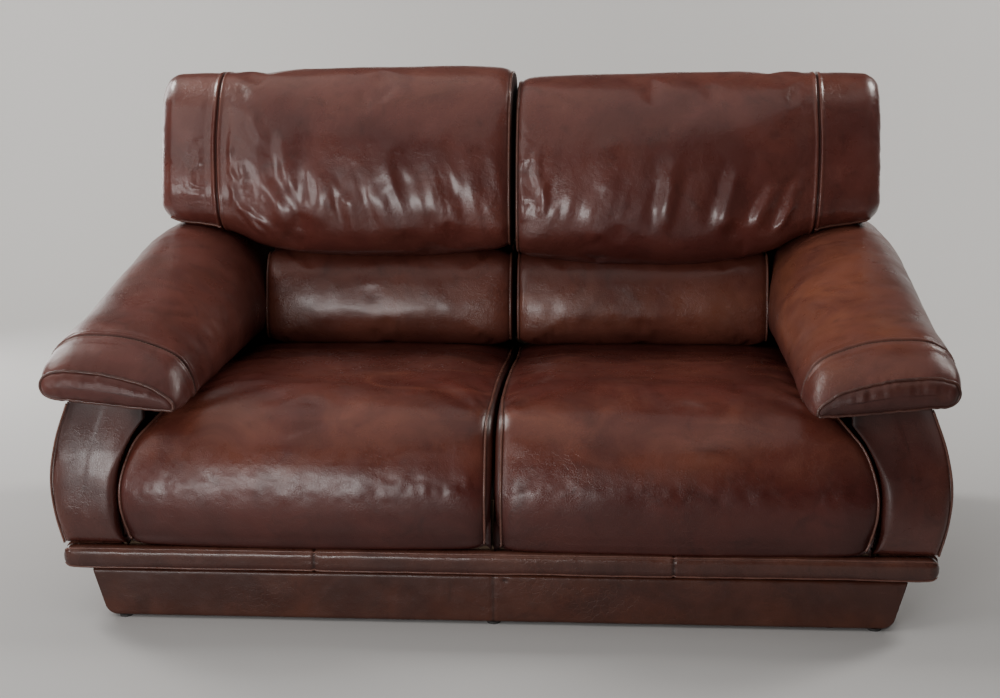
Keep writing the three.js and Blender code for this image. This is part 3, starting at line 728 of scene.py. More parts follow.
for hand, side in HANDS:
    low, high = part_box(f"lumbar_cushion_{hand}")
    near, far = min(abs(low.x), abs(high.x)), max(abs(low.x), abs(high.x))
    front, foot, head = low.y, low.z - 0.008, high.z
    face = [(0.29, foot + 0.001), (0.235, foot + 0.002), (0.205, foot + 0.01), (front + 0.002, foot + 0.03)]
    face += [(front, foot + 0.056), (front + 0.009, foot + 0.12), (0.216, foot + 0.172)]
    face += [(0.245, head - 0.002), (0.3, head - 0.001)]
    rear = [(0.383, head - 0.004), (0.386, head - 0.01), (0.386, foot + 0.01), (0.383, foot + 0.003)]
    loop = np.vstack([
        straight_through([*rear, face[0]], 46),
        curve_through(face, 104),
        straight_through([face[-1], rear[0]], 10),
    ])
    y, z = loop.T
    u = stations(121)[:, None]
    from_edge = np.broadcast_to(np.minimum(u, 1 - u) * (far - near), (len(u), len(loop)))
    crown = LUMBAR_SHOULDER * (1 - fading(from_edge, 0.014)) - LUMBAR_SHOULDER
    crown = crown * ((y < 0.32) & (np.arange(len(loop)) > 40))
    out = outward(loop)
    x = np.broadcast_to(near + 0.002 + (far - near - 0.006) * u, crown.shape)
    panel = np.stack([x, y + out[:, 0] * crown, z + out[:, 1] * crown], -1)
    inner_end = gusset(panel[0], -1, LUMBAR_GUSSET)
    rows = np.concatenate([inner_end[::-1], panel, gusset(panel[-1], 1, LUMBAR_GUSSET)])
    held = np.ones(rows.shape[:2], bool)
    held[6:-6, 48:148] = False  # free on the face, from its foot to the top of the roll
    rows = billowed(rows, held, 2.2, 0.004, 0.007, 6.0)
    rows[..., 0] *= side
    normals = grid_normals(rows)
    loose = soft_noise(rows * (1, 1, 0.6), 0.07, 31) * 0.0013 + soft_noise(rows, 0.028, 32) * 0.0006
    rows += normals * (loose * ~held)[..., None]
    cushion = skin(f"lumbar_{hand}_cover", rows, lumbar_leather)
    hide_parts(f"lumbar_cushion_{hand}")
    x, y, z = np.moveaxis(rows, -1, 0)
    near_seam = np.pad(from_edge, ((4, 4), (0, 0)))
    shade = fading(head - z, 0.02) + 0.6 * fading(z - foot, 0.015)
    paint(
        cushion,
        (0.35 if side < 0 else 0.55) * peak(z, 0.47, 0.06) * (y < 0.25),
        0.5 * shade + 0.4 * fading(near_seam, 0.004),
        0.3 + 0.6 * fading(near_seam, 0.05),
    )
    piped_edge(f"lumbar_{hand}_inner_piping", rows, normals, 4, -side)
    piped_edge(f"lumbar_{hand}_outer_piping", rows, normals, -5, side)

# ---------------------------------------------------------------------------------------------------
# Head cushions: soft cushions that lean forward over the lumbar rolls and fold down over the top of
# the back. Each has a long panel, an end panel beyond a double raised seam, and a piped inner edge.
# The leather is slack and falls into folds that lean towards the arms.

head_leather = aged_leather(
    "head_leather", (0.088, 0.0205, 0.0165), (0.128, 0.033, 0.0255), (0.24, 0.085, 0.055),
    gloss=0.31, lumps=0.36, clouds=6.0, polish=0.4,
)
# A near-black copy of the leather for the head cushions' inner gussets: painted shade of the gap between
# them.
gusset_shade_leather = aged_leather(
    "gusset_shade_leather", (0.03, 0.0085, 0.0065), (0.045, 0.013, 0.009), (0.08, 0.03, 0.02),
    gloss=0.75, polish=0.0,
)


def across(x, knots, values):
    """Values eased between knots, for a grid of places."""
    return eased(x.ravel(), knots, values).reshape(x.shape)


def around_seam(reach):
    """Distances from a raised seam for rows close to it: fine beside the seam, wider further off."""
    near = np.array([0.0, 0.0014, 0.0028, 0.0042, 0.0056, 0.007, 0.0085, 0.0105, 0.013, 0.017])
    near = near[near < reach]
    return np.concatenate([-near[:0:-1], near])


def raised_seam(distance, ridge, groove):
    """The profile across a seam that is topstitched on both sides: a narrow groove of that depth
    between two low ridges, each 6 mm away from it."""
    ridges = peak(distance, 0.006, 0.0032) + peak(distance, -0.006, 0.0032)
    return ridge * ridges - groove * peak(distance, 0, 0.0022)


HEAD_SEAM = 0.645  # from the sofa's middle to the raised seam, at the crest
HEAD_ROLL = 0.037  # radius of the rolled outer end
HEAD_SHOULDER = 0.012
HEAD_GUSSET = ((0.0015, 0.0034), (0.0035, 0.0052), (0.0065, 0.006), (0.02, 0.006))
HEAD_SLUMP_AT = (0.0, 0.4, 0.64, 0.79)
HEAD_SLUMP = {  # how far the crest and the foot of each cushion have moved up, at those places
    "left": ((0.011, 0.005, 0.002, -0.002), (0.0, -0.002, 0.002, 0.0)),
    "right": ((-0.011, -0.009, -0.005, -0.009), (-0.016, -0.018, -0.002, 0.0)),
}
HEAD_FOLDS = {  # the start, end, width and height of each fold; X is given for the right-hand side
    "left": [
        ((0.53, 0.165, 0.76), (0.475, 0.165, 0.63), 0.017, 0.0046),
        ((0.5, 0.165, 0.87), (0.46, 0.165, 0.7), 0.02, 0.0034),
        ((0.42, 0.165, 0.8), (0.4, 0.165, 0.63), 0.021, 0.004),
        ((0.35, 0.165, 0.74), (0.33, 0.165, 0.61), 0.016, 0.003),
        ((0.6, 0.18, 0.71), (0.53, 0.18, 0.62), 0.0075, 0.0036),
        ((0.585, 0.18, 0.7), (0.515, 0.17, 0.64), 0.007, 0.0028),
        ((0.27, 0.165, 0.85), (0.25, 0.165, 0.7), 0.024, 0.0024),
        ((0.15, 0.165, 0.9), (0.16, 0.165, 0.72), 0.026, 0.0022),
        ((0.57, 0.2, 0.9), (0.53, 0.18, 0.82), 0.012, 0.0026),
    ],
    "right": [
        ((0.335, 0.165, 0.82), (0.318, 0.165, 0.62), 0.019, 0.0054),
        ((0.475, 0.165, 0.79), (0.437, 0.165, 0.62), 0.018, 0.0064),
        ((0.555, 0.165, 0.76), (0.505, 0.165, 0.63), 0.015, 0.006),
        ((0.615, 0.18, 0.76), (0.55, 0.17, 0.63), 0.013, 0.0052),
        ((0.2, 0.165, 0.86), (0.19, 0.165, 0.7), 0.026, 0.002),
        ((0.6, 0.18, 0.71), (0.545, 0.17, 0.63), 0.007, 0.003),
        ((0.05, 0.168, 0.84), (0.06, 0.168, 0.68), 0.012, 0.0032),
        ((0.075, 0.168, 0.76), (0.055, 0.168, 0.66), 0.009, 0.0026),
    ],
}

for hand, side in HANDS:
    low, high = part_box(f"head_cushion_{hand}")
    near, far = min(abs(low.x), abs(high.x)), max(abs(low.x), abs(high.x)) + 0.008
    front, foot, head, back = low.y, low.z, high.z, high.y
    face = [(0.27, foot + 0.002), (0.222, foot + 0.003), (0.19, foot + 0.014), (front + 0.004, foot + 0.042)]
    face += [(front, foot + 0.084), (front + 0.008, foot + 0.16), (0.196, foot + 0.255)]
    face += [(0.238, head - 0.042), (0.295, head - 0.006), (0.36, head), (0.412, head - 0.008)]
    face += [(0.443, head - 0.035), (back, head - 0.065)]
    rear = [(back - 0.004, 0.884), (0.393, 0.884), (0.386, 0.878), (0.386, foot + 0.01)]
    rear += [(0.376, foot + 0.002)]
    loop = np.vstack([
        straight_through([*rear, face[0]], 68),
        curve_through(face, 176),
        straight_through([face[-1], rear[0]], 6),
    ])
    y, z = loop.T
    place = np.arange(len(loop))
    seam = eased(z, [foot - 0.01, 0.74, 0.832, 0.92, head], [0.637, 0.643, HEAD_SEAM, 0.643, HEAD_SEAM])
    seam = np.where(y > 0.36, HEAD_SEAM, seam)
    beside = around_seam(0.018)
    long_panel = np.linspace(0, 1, 119)[:, None]
    end_panel = np.linspace(0, 1, 14)[1:, None]
    turn = np.linspace(0, math.pi / 2, 12)[1:-1]
    x = np.concatenate([
        near + 0.002 + (seam - 0.0175 - near - 0.002) * long_panel,
        seam + beside[:, None],
        seam + 0.0175 + (far - HEAD_ROLL - seam - 0.0175) * end_panel,
        np.broadcast_to(far - HEAD_ROLL + HEAD_ROLL * np.sin(turn)[:, None], (len(turn), len(loop))),
    ])
    rolled = np.zeros((len(x), 1))
    rolled[-len(turn):, 0] = HEAD_ROLL * (1 - np.cos(turn))
    foot_rise = across(x, [0, 0.5, 0.552, 0.6, 0.64, 0.735, 0.79], [0, 0, 0.008, 0.027, 0.038, 0.051, 0.062])
    setback = across(x, [0, 0.46, 0.56, 0.64, 0.7, 0.79], [0, 0, 0.01, 0.032, 0.047, 0.066])
    crest_drop, foot_drop = (across(x, HEAD_SLUMP_AT, drop) for drop in HEAD_SLUMP[hand])
    grid_y = y + setback * ramp(0.36 - y, 0.17) ** 0.8
    level = ramp(z - foot, head - foot)
    grid_z = z + foot_rise * ramp(0.78 - z, 0.78 - foot)
    grid_z = grid_z + crest_drop * level + foot_drop * (1 - level) * (place > 62)
    from_edge = np.minimum(x - near - 0.002, 0.4)
    crown = np.where(place > 50, HEAD_SHOULDER * (1 - fading(from_edge, 0.014)) - HEAD_SHOULDER, 0)
    off_seam = x - seam
    round_end = np.interp(place, [0, 48, 72, 236, 249], [0, 0, 1, 1, 0])
    lift = crown - rolled * 0.85 * round_end + raised_seam(off_seam, 0.0022, 0.005) * (place > 60)
    out = np.array([outward(np.stack([a, b], -1)) for a, b in zip(grid_y, grid_z)])
    panel = np.stack([x, grid_y + out[..., 0] * lift, grid_z + out[..., 1] * lift], -1)
    rows = np.concatenate([gusset(panel[0], -1, HEAD_GUSSET)[::-1], panel])
    held = np.ones(rows.shape[:2], bool)
    held[6:120, 62:244] = False  # free on the long panel
    held[144:-8, 66:244] = False  # and on the end panel, with the raised seam between them held
    rows = billowed(rows, held, 1.9, 0.003, 0.007, 11.0)
    rows[..., 0] *= side
    normals = grid_normals(rows)
    x, y, z = np.moveaxis(rows, -1, 0)
    facing = y < 0.3
    leaning = np.stack([np.abs(x) - side * 0.02 - 0.26 * z, y, z * 0.28], -1)
    slack = np.exp(-(((z - 0.715) / 0.085) ** 4)) * facing * (1.0 if side < 0 else 0.55)
    beside_seam = peak(off_seam, 0, 0.06) * (np.abs(off_seam) > 0.011)
    if side > 0:
        beside_seam = 0.2 * beside_seam + 1.2 * fading(from_edge, 0.026) * (from_edge > 0.006)
    crumpled = np.exp(-(((z - 0.765) / 0.085) ** 4)) * facing * np.pad(beside_seam, ((4, 0), (0, 0)))
    loose = soft_noise(rows, 0.12, 41) * 0.0014 + soft_noise(leaning, 0.03, 42) * 0.0023 * slack
    loose = loose + (soft_noise(leaning, 0.016, 44) * 0.0012 + crumple(leaning, 0.03, 47) * 0.0008) * slack
    loose = loose + (0.0036 * crumple(rows, 0.034, 45) + 0.0016 * soft_noise(rows, 0.014, 46)) * crumpled
    rim = np.pad(rolled / HEAD_ROLL, ((4, 0), (0, 0))) * (y < 0.36)
    change = normals * (loose * ~held)[..., None]
    change = change + normals * (0.0016 * soft_noise(rows * (0.5, 1, 1), 0.012, 48) * rim)[..., None]
    for number, (start, end, width, height) in enumerate(HEAD_FOLDS[hand]):
        start, end = (np.array(p) * (side, 1, 1) for p in (start, end))
        change = change + creased(rows, normals, start, end, width, height, 50 + number) * ~held[..., None]
    rows += change
    cushion = skin(f"head_{hand}_cover", rows, head_leather)
    # The inner gusset takes the near-black leather, as painted shade.
    cushion.data.materials.append(gusset_shade_leather)
    on_gusset = np.zeros(len(cushion.data.polygons), np.int32)
    on_gusset[: 4 * len(loop)] = 1
    on_gusset[-2] = 1
    cushion.data.polygons.foreach_set("material_index", on_gusset)
    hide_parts(f"head_cushion_{hand}")
    near_edge = np.pad(from_edge, ((4, 0), (0, 0)))
    near_seam = np.pad(np.abs(off_seam), ((4, 0), (0, 0)), constant_values=1.0)
    top_wear = peak(z, head, 0.05) + peak(near_seam, 0.006, 0.003)
    # Painted shade: darker in the seam's groove, beside the piped inner edge and along the foot over the
    # lumbar roll.
    shade = 0.85 * peak(near_seam, 0, 0.0022) + 0.5 * fading(near_edge, 0.004)
    paint(
        cushion,
        0.3 * top_wear + 0.12 * (1 + soft_noise(rows, 0.12, 43)),
        shade + 0.35 * fading(np.maximum(z - foot, 0), 0.02),
        0.28 + 0.6 * fading(near_edge, 0.05) + 0.6 * fading(near_seam, 0.035),
    )
    piped_edge(f"head_{hand}_inner_piping", rows, normals, 4, -side)
    corner = 68 + int(0.13 * 176)
    lean = normals[134:-7, corner]
    path = rows[134:-7, corner] + lean * 0.0012
    bead = rope(f"head_{hand}_end_piping", path, lean, 0.0024, piping_leather, closed=False)
    paint(bead, *PIPING_WEAR)

# ---------------------------------------------------------------------------------------------------
# Arm pads: thick pads that slope down to the front and overhang the arms. A long sleeve of leather
# ends at a topstitched seam, a short band runs on to the front, and a crescent cap closes it with
# piping. The tops are rubbed pale and orange by hands and elbows, the right one most, and on the
# right one the paleness is also painted light, strongest on the inner side and fading outward.

arm_leather = aged_leather(
    "arm_leather", (0.088, 0.026, 0.0215), (0.132, 0.041, 0.033), (0.25, 0.083, 0.043),
    gloss=0.32, lumps=0.12, clouds=8.0, polish=0.0,
)


def plain_finish(name, first, second, scale, stretch=(1, 1, 1), roughness=0.6, metal=0, depth=0.0):
    """A finish for thread and for the frame's parts: noise, stretched along one axis as a grain,
    blends two colours and raises the surface by the given depth."""
    material = bpy.data.materials.new(name)
    material.use_nodes = True
    nodes, links = material.node_tree.nodes, material.node_tree.links
    shader = nodes["Principled BSDF"]
    place = nodes.new("ShaderNodeTexCoord")
    mapping = nodes.new("ShaderNodeMapping")
    mapping.inputs["Scale"].default_value = stretch
    noise = nodes.new("ShaderNodeTexNoise")
    noise.inputs["Scale"].default_value = scale
    noise.inputs["Detail"].default_value = 6.0
    mix = nodes.new("ShaderNodeMix")
    mix.data_type = "RGBA"
    mix.inputs[6].default_value = (*first, 1)
    mix.inputs[7].default_value = (*second, 1)
    bump = nodes.new("ShaderNodeBump")
    bump.inputs["Distance"].default_value = depth
    links.new(place.outputs["Object"], mapping.inputs["Vector"])
    links.new(mapping.outputs[0], noise.inputs["Vector"])
    links.new(noise.outputs["Fac"], mix.inputs[0])
    links.new(mix.outputs[2], shader.inputs["Base Color"])
    links.new(noise.outputs["Fac"], bump.inputs["Height"])
    links.new(bump.outputs[0], shader.inputs["Normal"])
    shader.inputs["Roughness"].default_value = roughness
    shader.inputs["Metallic"].default_value = metal
    return material


def topstitches(name, path, out, pitch, length, radius, material):
    """Thread that shows as short spindles, one every pitch along a path and half sunk in it. Each is
    six six-sided rings, whose radius is a cosine of the distance from its middle."""
    run = lengths_along(path)
    middles = np.arange(pitch / 2, run[-1], pitch)
    share = np.linspace(-0.5, 0.5, 6)
    at = middles[:, None] + length * share
    centre = np.stack([np.interp(at, run, path[:, k]) for k in range(3)], -1)
    up = np.stack([np.interp(middles, run, out[:, k]) for k in range(3)], -1)
    up /= np.linalg.norm(up, axis=1, keepdims=True)
    ahead = centre[:, -1] - centre[:, 0]
    ahead /= np.linalg.norm(ahead, axis=1, keepdims=True)
    side = np.cross(ahead, up)
    turn = np.linspace(0, 2 * math.pi, 6, endpoint=False)[:, None]
    thick = (radius * (0.12 + 0.88 * np.cos(math.pi * share * 0.98)))[:, None, None]
    ring = np.cos(turn) * side[:, None, None] + np.sin(turn) * up[:, None, None]
    points = (centre[:, :, None] + thick * ring).reshape(-1, 3)
    j = np.arange(6)
    first = 36 * np.arange(len(middles))[:, None, None]
    faces = (first + grid_quads(6, 6)).reshape(-1, 4).tolist()
    for first in range(0, len(points), 36):
        faces += [(first + j[::-1]).tolist(), (first + 30 + j).tolist()]
    a, b, _, d = points[faces[0]]
    if np.dot(np.cross(b - a, d - a), a - centre[0, 0]) < 0:
        faces = [face[::-1] for face in faces]
    return placed(name, points, faces, material)


thread = plain_finish("thread", (0.1, 0.05, 0.035), (0.2, 0.12, 0.09), 300.0, depth=0.0001)

# The right pad's outline in X and Z at each of the PAD_STATIONS along Y, from its inner foot over the
# top to its outer foot. The left pad is its mirror image.
PAD_STATIONS = (-0.449, -0.42, -0.365, -0.23, -0.1, 0.06, 0.2, 0.437)
PAD_SECTIONS = (
    (
        (0.588, 0.3975), (0.5705, 0.3985), (0.5685, 0.4085), (0.598, 0.44), (0.655, 0.461), (0.735, 0.475),
        (0.79, 0.474), (0.8145, 0.463), (0.8205, 0.445), (0.8135, 0.427), (0.797, 0.418),
    ),
    (
        (0.582, 0.399), (0.562, 0.404), (0.562, 0.416), (0.586, 0.458), (0.648, 0.484), (0.728, 0.497),
        (0.788, 0.492), (0.816, 0.475), (0.8215, 0.45), (0.814, 0.427), (0.797, 0.418),
    ),
    (
        (0.57, 0.404), (0.556, 0.413), (0.557, 0.432), (0.577, 0.474), (0.64, 0.507), (0.72, 0.521),
        (0.785, 0.514), (0.815, 0.492), (0.8215, 0.46), (0.815, 0.43), (0.8, 0.4185),
    ),
    (
        (0.563, 0.407), (0.551, 0.441), (0.572, 0.495), (0.634, 0.533), (0.714, 0.549), (0.784, 0.541),
        (0.819, 0.497), (0.803, 0.424),
    ),
    (
        (0.561, 0.409), (0.55, 0.452), (0.57, 0.519), (0.63, 0.56), (0.711, 0.578), (0.782, 0.57),
        (0.818, 0.52), (0.803, 0.441),
    ),
    (
        (0.56, 0.412), (0.551, 0.478), (0.565, 0.543), (0.615, 0.585), (0.69, 0.608), (0.772, 0.603),
        (0.816, 0.559), (0.803, 0.461),
    ),
    (
        (0.56, 0.414), (0.552, 0.5), (0.562, 0.56), (0.602, 0.608), (0.668, 0.634), (0.76, 0.632),
        (0.812, 0.59), (0.803, 0.479),
    ),
    (
        (0.56, 0.414), (0.556, 0.52), (0.565, 0.575), (0.602, 0.62), (0.668, 0.644), (0.758, 0.641),
        (0.806, 0.606), (0.798, 0.503),
    ),
)
ARM_CREASES = (  # the start, end, width and height of each
    ((0.6, 0.25, 0.62), (0.71, 0.26, 0.644), 0.007, 0.0016),
    ((0.59, 0.2, 0.6), (0.68, 0.215, 0.634), 0.006, 0.0014),
    ((0.6, 0.14, 0.59), (0.72, 0.13, 0.615), 0.007, 0.0013),
    ((0.62, 0.05, 0.58), (0.7, 0.055, 0.605), 0.006, 0.001),
)

for hand, side in HANDS:
    low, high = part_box(f"arm_pad_{hand}")
    shapes = []
    for at, section in zip(PAD_STATIONS, PAD_SECTIONS):
        ledge = 0.4135 + ramp(at + 0.3, 0.686) * 0.0875
        inner_foot = (section[0][0] + 0.03, section[0][1] + 0.0012)
        outer_foot = (section[-1][0] - 0.03, ledge + 0.3 * max(section[-1][1] - ledge, 0) * (at < -0.3))
        under = [outer_foot, (0.698, ledge), (0.69, 0.4125), (0.64, 0.411), inner_foot]
        if at == PAD_STATIONS[0]:
            under = [outer_foot, inner_foot]
        over = curve_through([inner_foot, *section, outer_foot], 158)
        shapes.append(np.vstack([over, straight_through(under, 42)]))
    front, seam_at = PAD_STATIONS[0], PAD_STATIONS[2]
    along = np.concatenate([
        np.linspace(front, seam_at - 0.018, 22),
        seam_at + around_seam(0.018),
        np.linspace(seam_at + 0.018, high.y, 159),
    ])
    grid = eased(along, PAD_STATIONS, np.array(shapes))
    edge_drop = 0.006 * fading(along - front, 0.011)
    seam_lift = raised_seam(along - seam_at, 0.0021, 0.0055)
    on_top = np.arange(200) < 152
    out = np.array([outward(row) for row in grid])
    grid = grid + out * (seam_lift[:, None] * on_top - edge_drop[:, None])[..., None]
    sleeve = np.stack([grid[..., 0], np.broadcast_to(along[:, None], grid.shape[:2]), grid[..., 1]], -1)

    # The cap: each point of the front row goes inward to a line along the cap's middle, and forward.
    spine_x = np.clip(grid[0, :, 0], grid[0, :, 0].min() + 0.022, grid[0, :, 0].max() - 0.022)
    crest = grid[0, 24:132][np.argsort(grid[0, 24:132, 0])]
    spine_z = (np.interp(spine_x, *crest.T) + np.interp(spine_x, [0.59, 0.8], [0.404, 0.424])) / 2
    spine = np.stack([spine_x, spine_z], -1)
    fullness = np.clip(0.45 + (spine_x - spine_x.min()) / 0.08, 0.45, 1)
    cap = []
    for share, forward in ((0.05, 0.016), (0.38, 0.015), (0.66, 0.0125), (0.86, 0.0085), (0.96, 0.004)):
        moved = spine + (grid[0] - spine) * share
        cap.append(np.column_stack([moved[:, 0], front - forward * fullness, moved[:, 1]]))
    first_row = len(cap)
    rows = np.concatenate([np.array(cap), sleeve])
    held = np.ones(rows.shape[:2], bool)
    held[7:24, 6:146] = False  # free on the band behind the cap
    held[46:-4, 6:146] = False  # and on the sleeve, with the raised seam between them held
    rows = billowed(rows, held, 1.6, 0.0, 0.005, 14.0)
    rows[..., 0] *= side
    normals = grid_normals(rows)
    x, y, z = np.moveaxis(rows, -1, 0)
    loose = soft_noise(rows, 0.1, 61) * 0.0014 + soft_noise(rows * (0.8, 1.3, 1), 0.035, 62) * 0.0007
    change = normals * (loose * ~held)[..., None]
    gather = soft_noise(rows * (1.0, 0.1, 0.4), 0.008, 63) * fading(np.abs(y - front), 0.012)
    change = change + normals * (0.0013 * gather)[..., None]
    on_cap = (y < front - 0.001) * ramp(z - 0.415, 0.03)
    change[..., 1] -= 0.0022 * on_cap * soft_noise(rows * (1.0, 0.1, 0.3), 0.011, 66)
    pucker = soft_noise(rows * (1.0, 0.15, 1.0), 0.007, 64) * fading(np.abs(y - seam_at), 0.01)
    change = change + normals * (0.0005 * pucker * (np.abs(y - seam_at) > 0.003))[..., None]
    if side > 0:
        for number, crease in enumerate(ARM_CREASES):
            change = change + creased(rows, normals, *crease, 90 + number) * ~held[..., None]
    rows += change
    cushion = skin(f"arm_{hand}_cover", rows, arm_leather)
    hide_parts(f"arm_pad_{hand}")
    worn_and_lit = ramp(z - 0.43, 0.05) * (0.6 + 0.4 * peak(y, -0.12, 0.22))
    shade = peak(y, seam_at, 0.0028)
    if side > 0:
        # On the right pad the paleness fades towards the outer edge: wear, and painted light on the inner
        # side, which faces the light.
        worn_and_lit = worn_and_lit * np.clip((0.81 - x) / 0.11, 0.1, 1)
        on_shoulder = peak(x, 0.785, 0.022) * peak(y, -0.39, 0.06)
        scuffs = crumple(rows, 0.02, 67) * np.clip(0.3 + soft_noise(rows, 0.03, 68), 0, 1)
        worn_and_lit = worn_and_lit + 1.1 * on_shoulder * scuffs
        # Painted shade: the right pad's cap is far darker than the left's; also a small dark mark on the top.
        shade = shade + 0.5 * (y < front - 0.002) + 0.7 * peak(x, 0.628, 0.006) * peak(y, -0.235, 0.003)
    else:
        worn_and_lit = 0.15 * worn_and_lit
        # Painted shade: the left cap is a little darker.
        shade = shade + 0.1 * (y < front - 0.002)
    paint(
        cushion,
        worn_and_lit * (0.75 + 0.35 * soft_noise(rows, 0.08, 65)),
        # Painted shade: darker along the pad's underside.
        shade + 0.3 * fading(np.maximum(z - 0.41, 0), 0.012),
        0.2 + 0.7 * (fading(np.abs(y - front), 0.02) + 0.5 * fading(np.abs(y - seam_at), 0.03)),
    )
    stitch_row = first_row + int(np.argmin(np.abs(along - seam_at + 0.0058)))
    stitched, off_leather = rows[stitch_row, 14:142], normals[stitch_row, 14:142]
    topstitches(f"arm_{hand}_topstitch", stitched, off_leather, 0.0058, 0.004, 0.00075, thread)
    lean = normals[first_row] + np.array((0, -0.6, 0))
    lean /= np.linalg.norm(lean, axis=1, keepdims=True)
    path = rows[first_row] + lean * 0.0018
    bead = rope(f"arm_{hand}_cap_piping", path, lean, 0.003, piping_leather)
    paint(bead, 0.05, 0.3, 0.0)

# ---------------------------------------------------------------------------------------------------
# Arm facings: boards with a thin layer of foam, wrapped in leather and screwed to the fronts of the
# arms. Their outer edges have two lines of piping, and the inner ones press against the seats.

# A darker copy of the leather for the arms' facings and sides: partly their own colour, partly painted shade.
facing_shaded_leather = aged_leather(
    "facing_shaded_leather", (0.054, 0.0155, 0.0125), (0.086, 0.025, 0.019), (0.2, 0.075, 0.05),
    gloss=0.26, lumps=0.06,
)
FACING_INNER = ((0.677, 0.141), (0.69, 0.18), (0.693, 0.215), (0.692, 0.275), (0.664, 0.343), (0.638, 0.378))
FACING_OUTER = ((0.798, 0.141), (0.81, 0.19), (0.816, 0.262), (0.803, 0.335), (0.776, 0.41))
FACING_CORNER = (0.638, 0.41)

for hand, side in HANDS:
    low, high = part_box(f"arm_facing_{hand}")
    outline = np.vstack([
        curve_through(FACING_OUTER, 90),
        straight_through([FACING_OUTER[-1], FACING_CORNER], 30),
        straight_through([FACING_CORNER, FACING_INNER[-1]], 8),
        curve_through(FACING_INNER[::-1], 84),
        straight_through([FACING_INNER[0], FACING_OUTER[0]], 36),
    ])
    middle_x = np.interp(outline[:, 1], [0.141, 0.22, 0.3, 0.36, 0.41], [0.739, 0.752, 0.744, 0.727, 0.71])
    spine = np.stack([middle_x, np.clip(outline[:, 1], 0.2, 0.4)], -1)
    share = [0.9, 0.985, 1.0, 1.0, 0.993, 0.98, 0.955, 0.92, 0.87, 0.81, 0.74, 0.66, 0.57, 0.47, 0.37, 0.26]
    share = np.array([*share, 0.15, 0.05])
    depth = low.y + 0.012 - 0.026 * (1 - share**8) ** 0.6
    depth[:3] = high.y, high.y - 0.001, high.y - 0.004
    flat = spine + (outline - spine) * share[:, None, None]
    rows = np.stack([flat[..., 0], np.broadcast_to(depth[:, None], flat.shape[:2]), flat[..., 1]], -1)
    lean_back = across(rows[..., 2], [0.141, 0.2, 0.245, 0.32, 0.41], [0.003, 0.0, 0.003, 0.019, 0.026])
    rows[4:, :, 1] += (lean_back * (1 - share[:, None] ** 8))[4:]
    rows[..., 0] *= side
    rows[4:, :, 1] += 0.0016 * soft_noise(rows[4:], 0.05, 71)
    facing = skin(f"arm_facing_{hand}_cover", rows, facing_shaded_leather)
    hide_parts(f"arm_facing_{hand}")
    x, z = np.abs(rows[..., 0]), rows[..., 2]
    outer_side = ramp(x - 0.77, 0.04)
    # Painted shade: darker at the top, under the arm pad, and along the inner edge beside the seat.
    dirt_and_shade = 0.5 * fading(0.41 - z, 0.03) + 0.35 * fading(x - 0.66, 0.02)
    paint(facing, 0.25 * outer_side, dirt_and_shade, 0.08 + 0.4 * outer_side)
    for name, reach, y in (("front", 0.99, low.y - 0.0005), ("outer", 1.004, low.y + 0.0125)):
        edge = (spine + (outline - spine) * reach)[:90]
        path = np.column_stack([side * edge[:, 0], np.full(90, y), edge[:, 1]])
        lean = np.tile((side * 0.7, -0.7, 0.0), (90, 1))
        bead = rope(
            f"arm_facing_{hand}_{name}_piping", path, lean, 0.0022, piping_leather, closed=False
        )
        paint(bead, *PIPING_WEAR)

# ---------------------------------------------------------------------------------------------------
# Arm sides: padded leather panels on the outside of each arm, stapled under the pad, down the back
# and above the belt. They swell like the facings and have one closed upright seam.

SIDE_TUCK = 0.008  # radius of the panel's front and rear edges
SIDE_SEAM = 0.05

for hand, side in HANDS:
    low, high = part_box(f"arm_side_{hand}")
    inner = min(abs(low.x), abs(high.x))
    swell = curve_through(FACING_OUTER, 84)
    from_end = np.array([0.0, 0.0008, 0.0025, 0.006])
    along = np.concatenate([
        low.y + from_end,
        np.linspace(low.y + 0.012, high.y - 0.012, 190),
        high.y - from_end[::-1],
    ])
    rows = []
    for y in along:
        ledge = 0.4095 + ramp(y + 0.3, 0.686) * 0.087
        end = min(y - low.y, high.y - y)
        tuck = SIDE_TUCK * (1 - math.sqrt(max(0.0, 1 - max(0.0, 1 - end / SIDE_TUCK) ** 2)))
        top, foot = FACING_OUTER[-1][0] - tuck, FACING_OUTER[0][0] - tuck
        outline = np.vstack([
            swell - (tuck, 0),
            straight_through([(top, 0.41), (top, ledge)], 22),
            straight_through([(top, ledge), (inner, ledge)], 16),
            straight_through([(inner, ledge), (inner, low.z)], 24),
            straight_through([(inner, low.z), (foot, low.z)], 14),
        ])
        rows.append(np.column_stack([outline[:, 0], np.full(len(outline), y), outline[:, 1]]))
    rows = np.array(rows)
    facing_out = np.arange(160) < 106
    off_seam = np.abs(rows[..., 1] - SIDE_SEAM)
    puff = 0.002 * soft_noise(rows, 0.12, 75) + 0.0007 * soft_noise(rows, 0.035, 76)
    puff = puff - 0.003 * peak(off_seam, 0, 0.0024)
    rows[..., 0] += puff * facing_out
    rows[..., 0] *= side
    panel = skin(f"arm_side_{hand}_cover", rows, facing_shaded_leather)
    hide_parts(f"arm_side_{hand}")
    z = rows[..., 2]
    # Darker at the closed seam and towards the bottom.
    dirt_and_shade = 0.8 * peak(off_seam, 0, 0.0026) + 0.5 * fading(z - low.z, 0.012)
    paint(panel, 0.3 * peak(z, 0.26, 0.06), dirt_and_shade, 0.2 + 0.5 * fading(off_seam, 0.03))

# ---------------------------------------------------------------------------------------------------
# Back: a flat leather-covered panel closes the rear from the belt to the top rail, with two closed
# seams, and two narrow covered boards close the ends of the back above the arms.

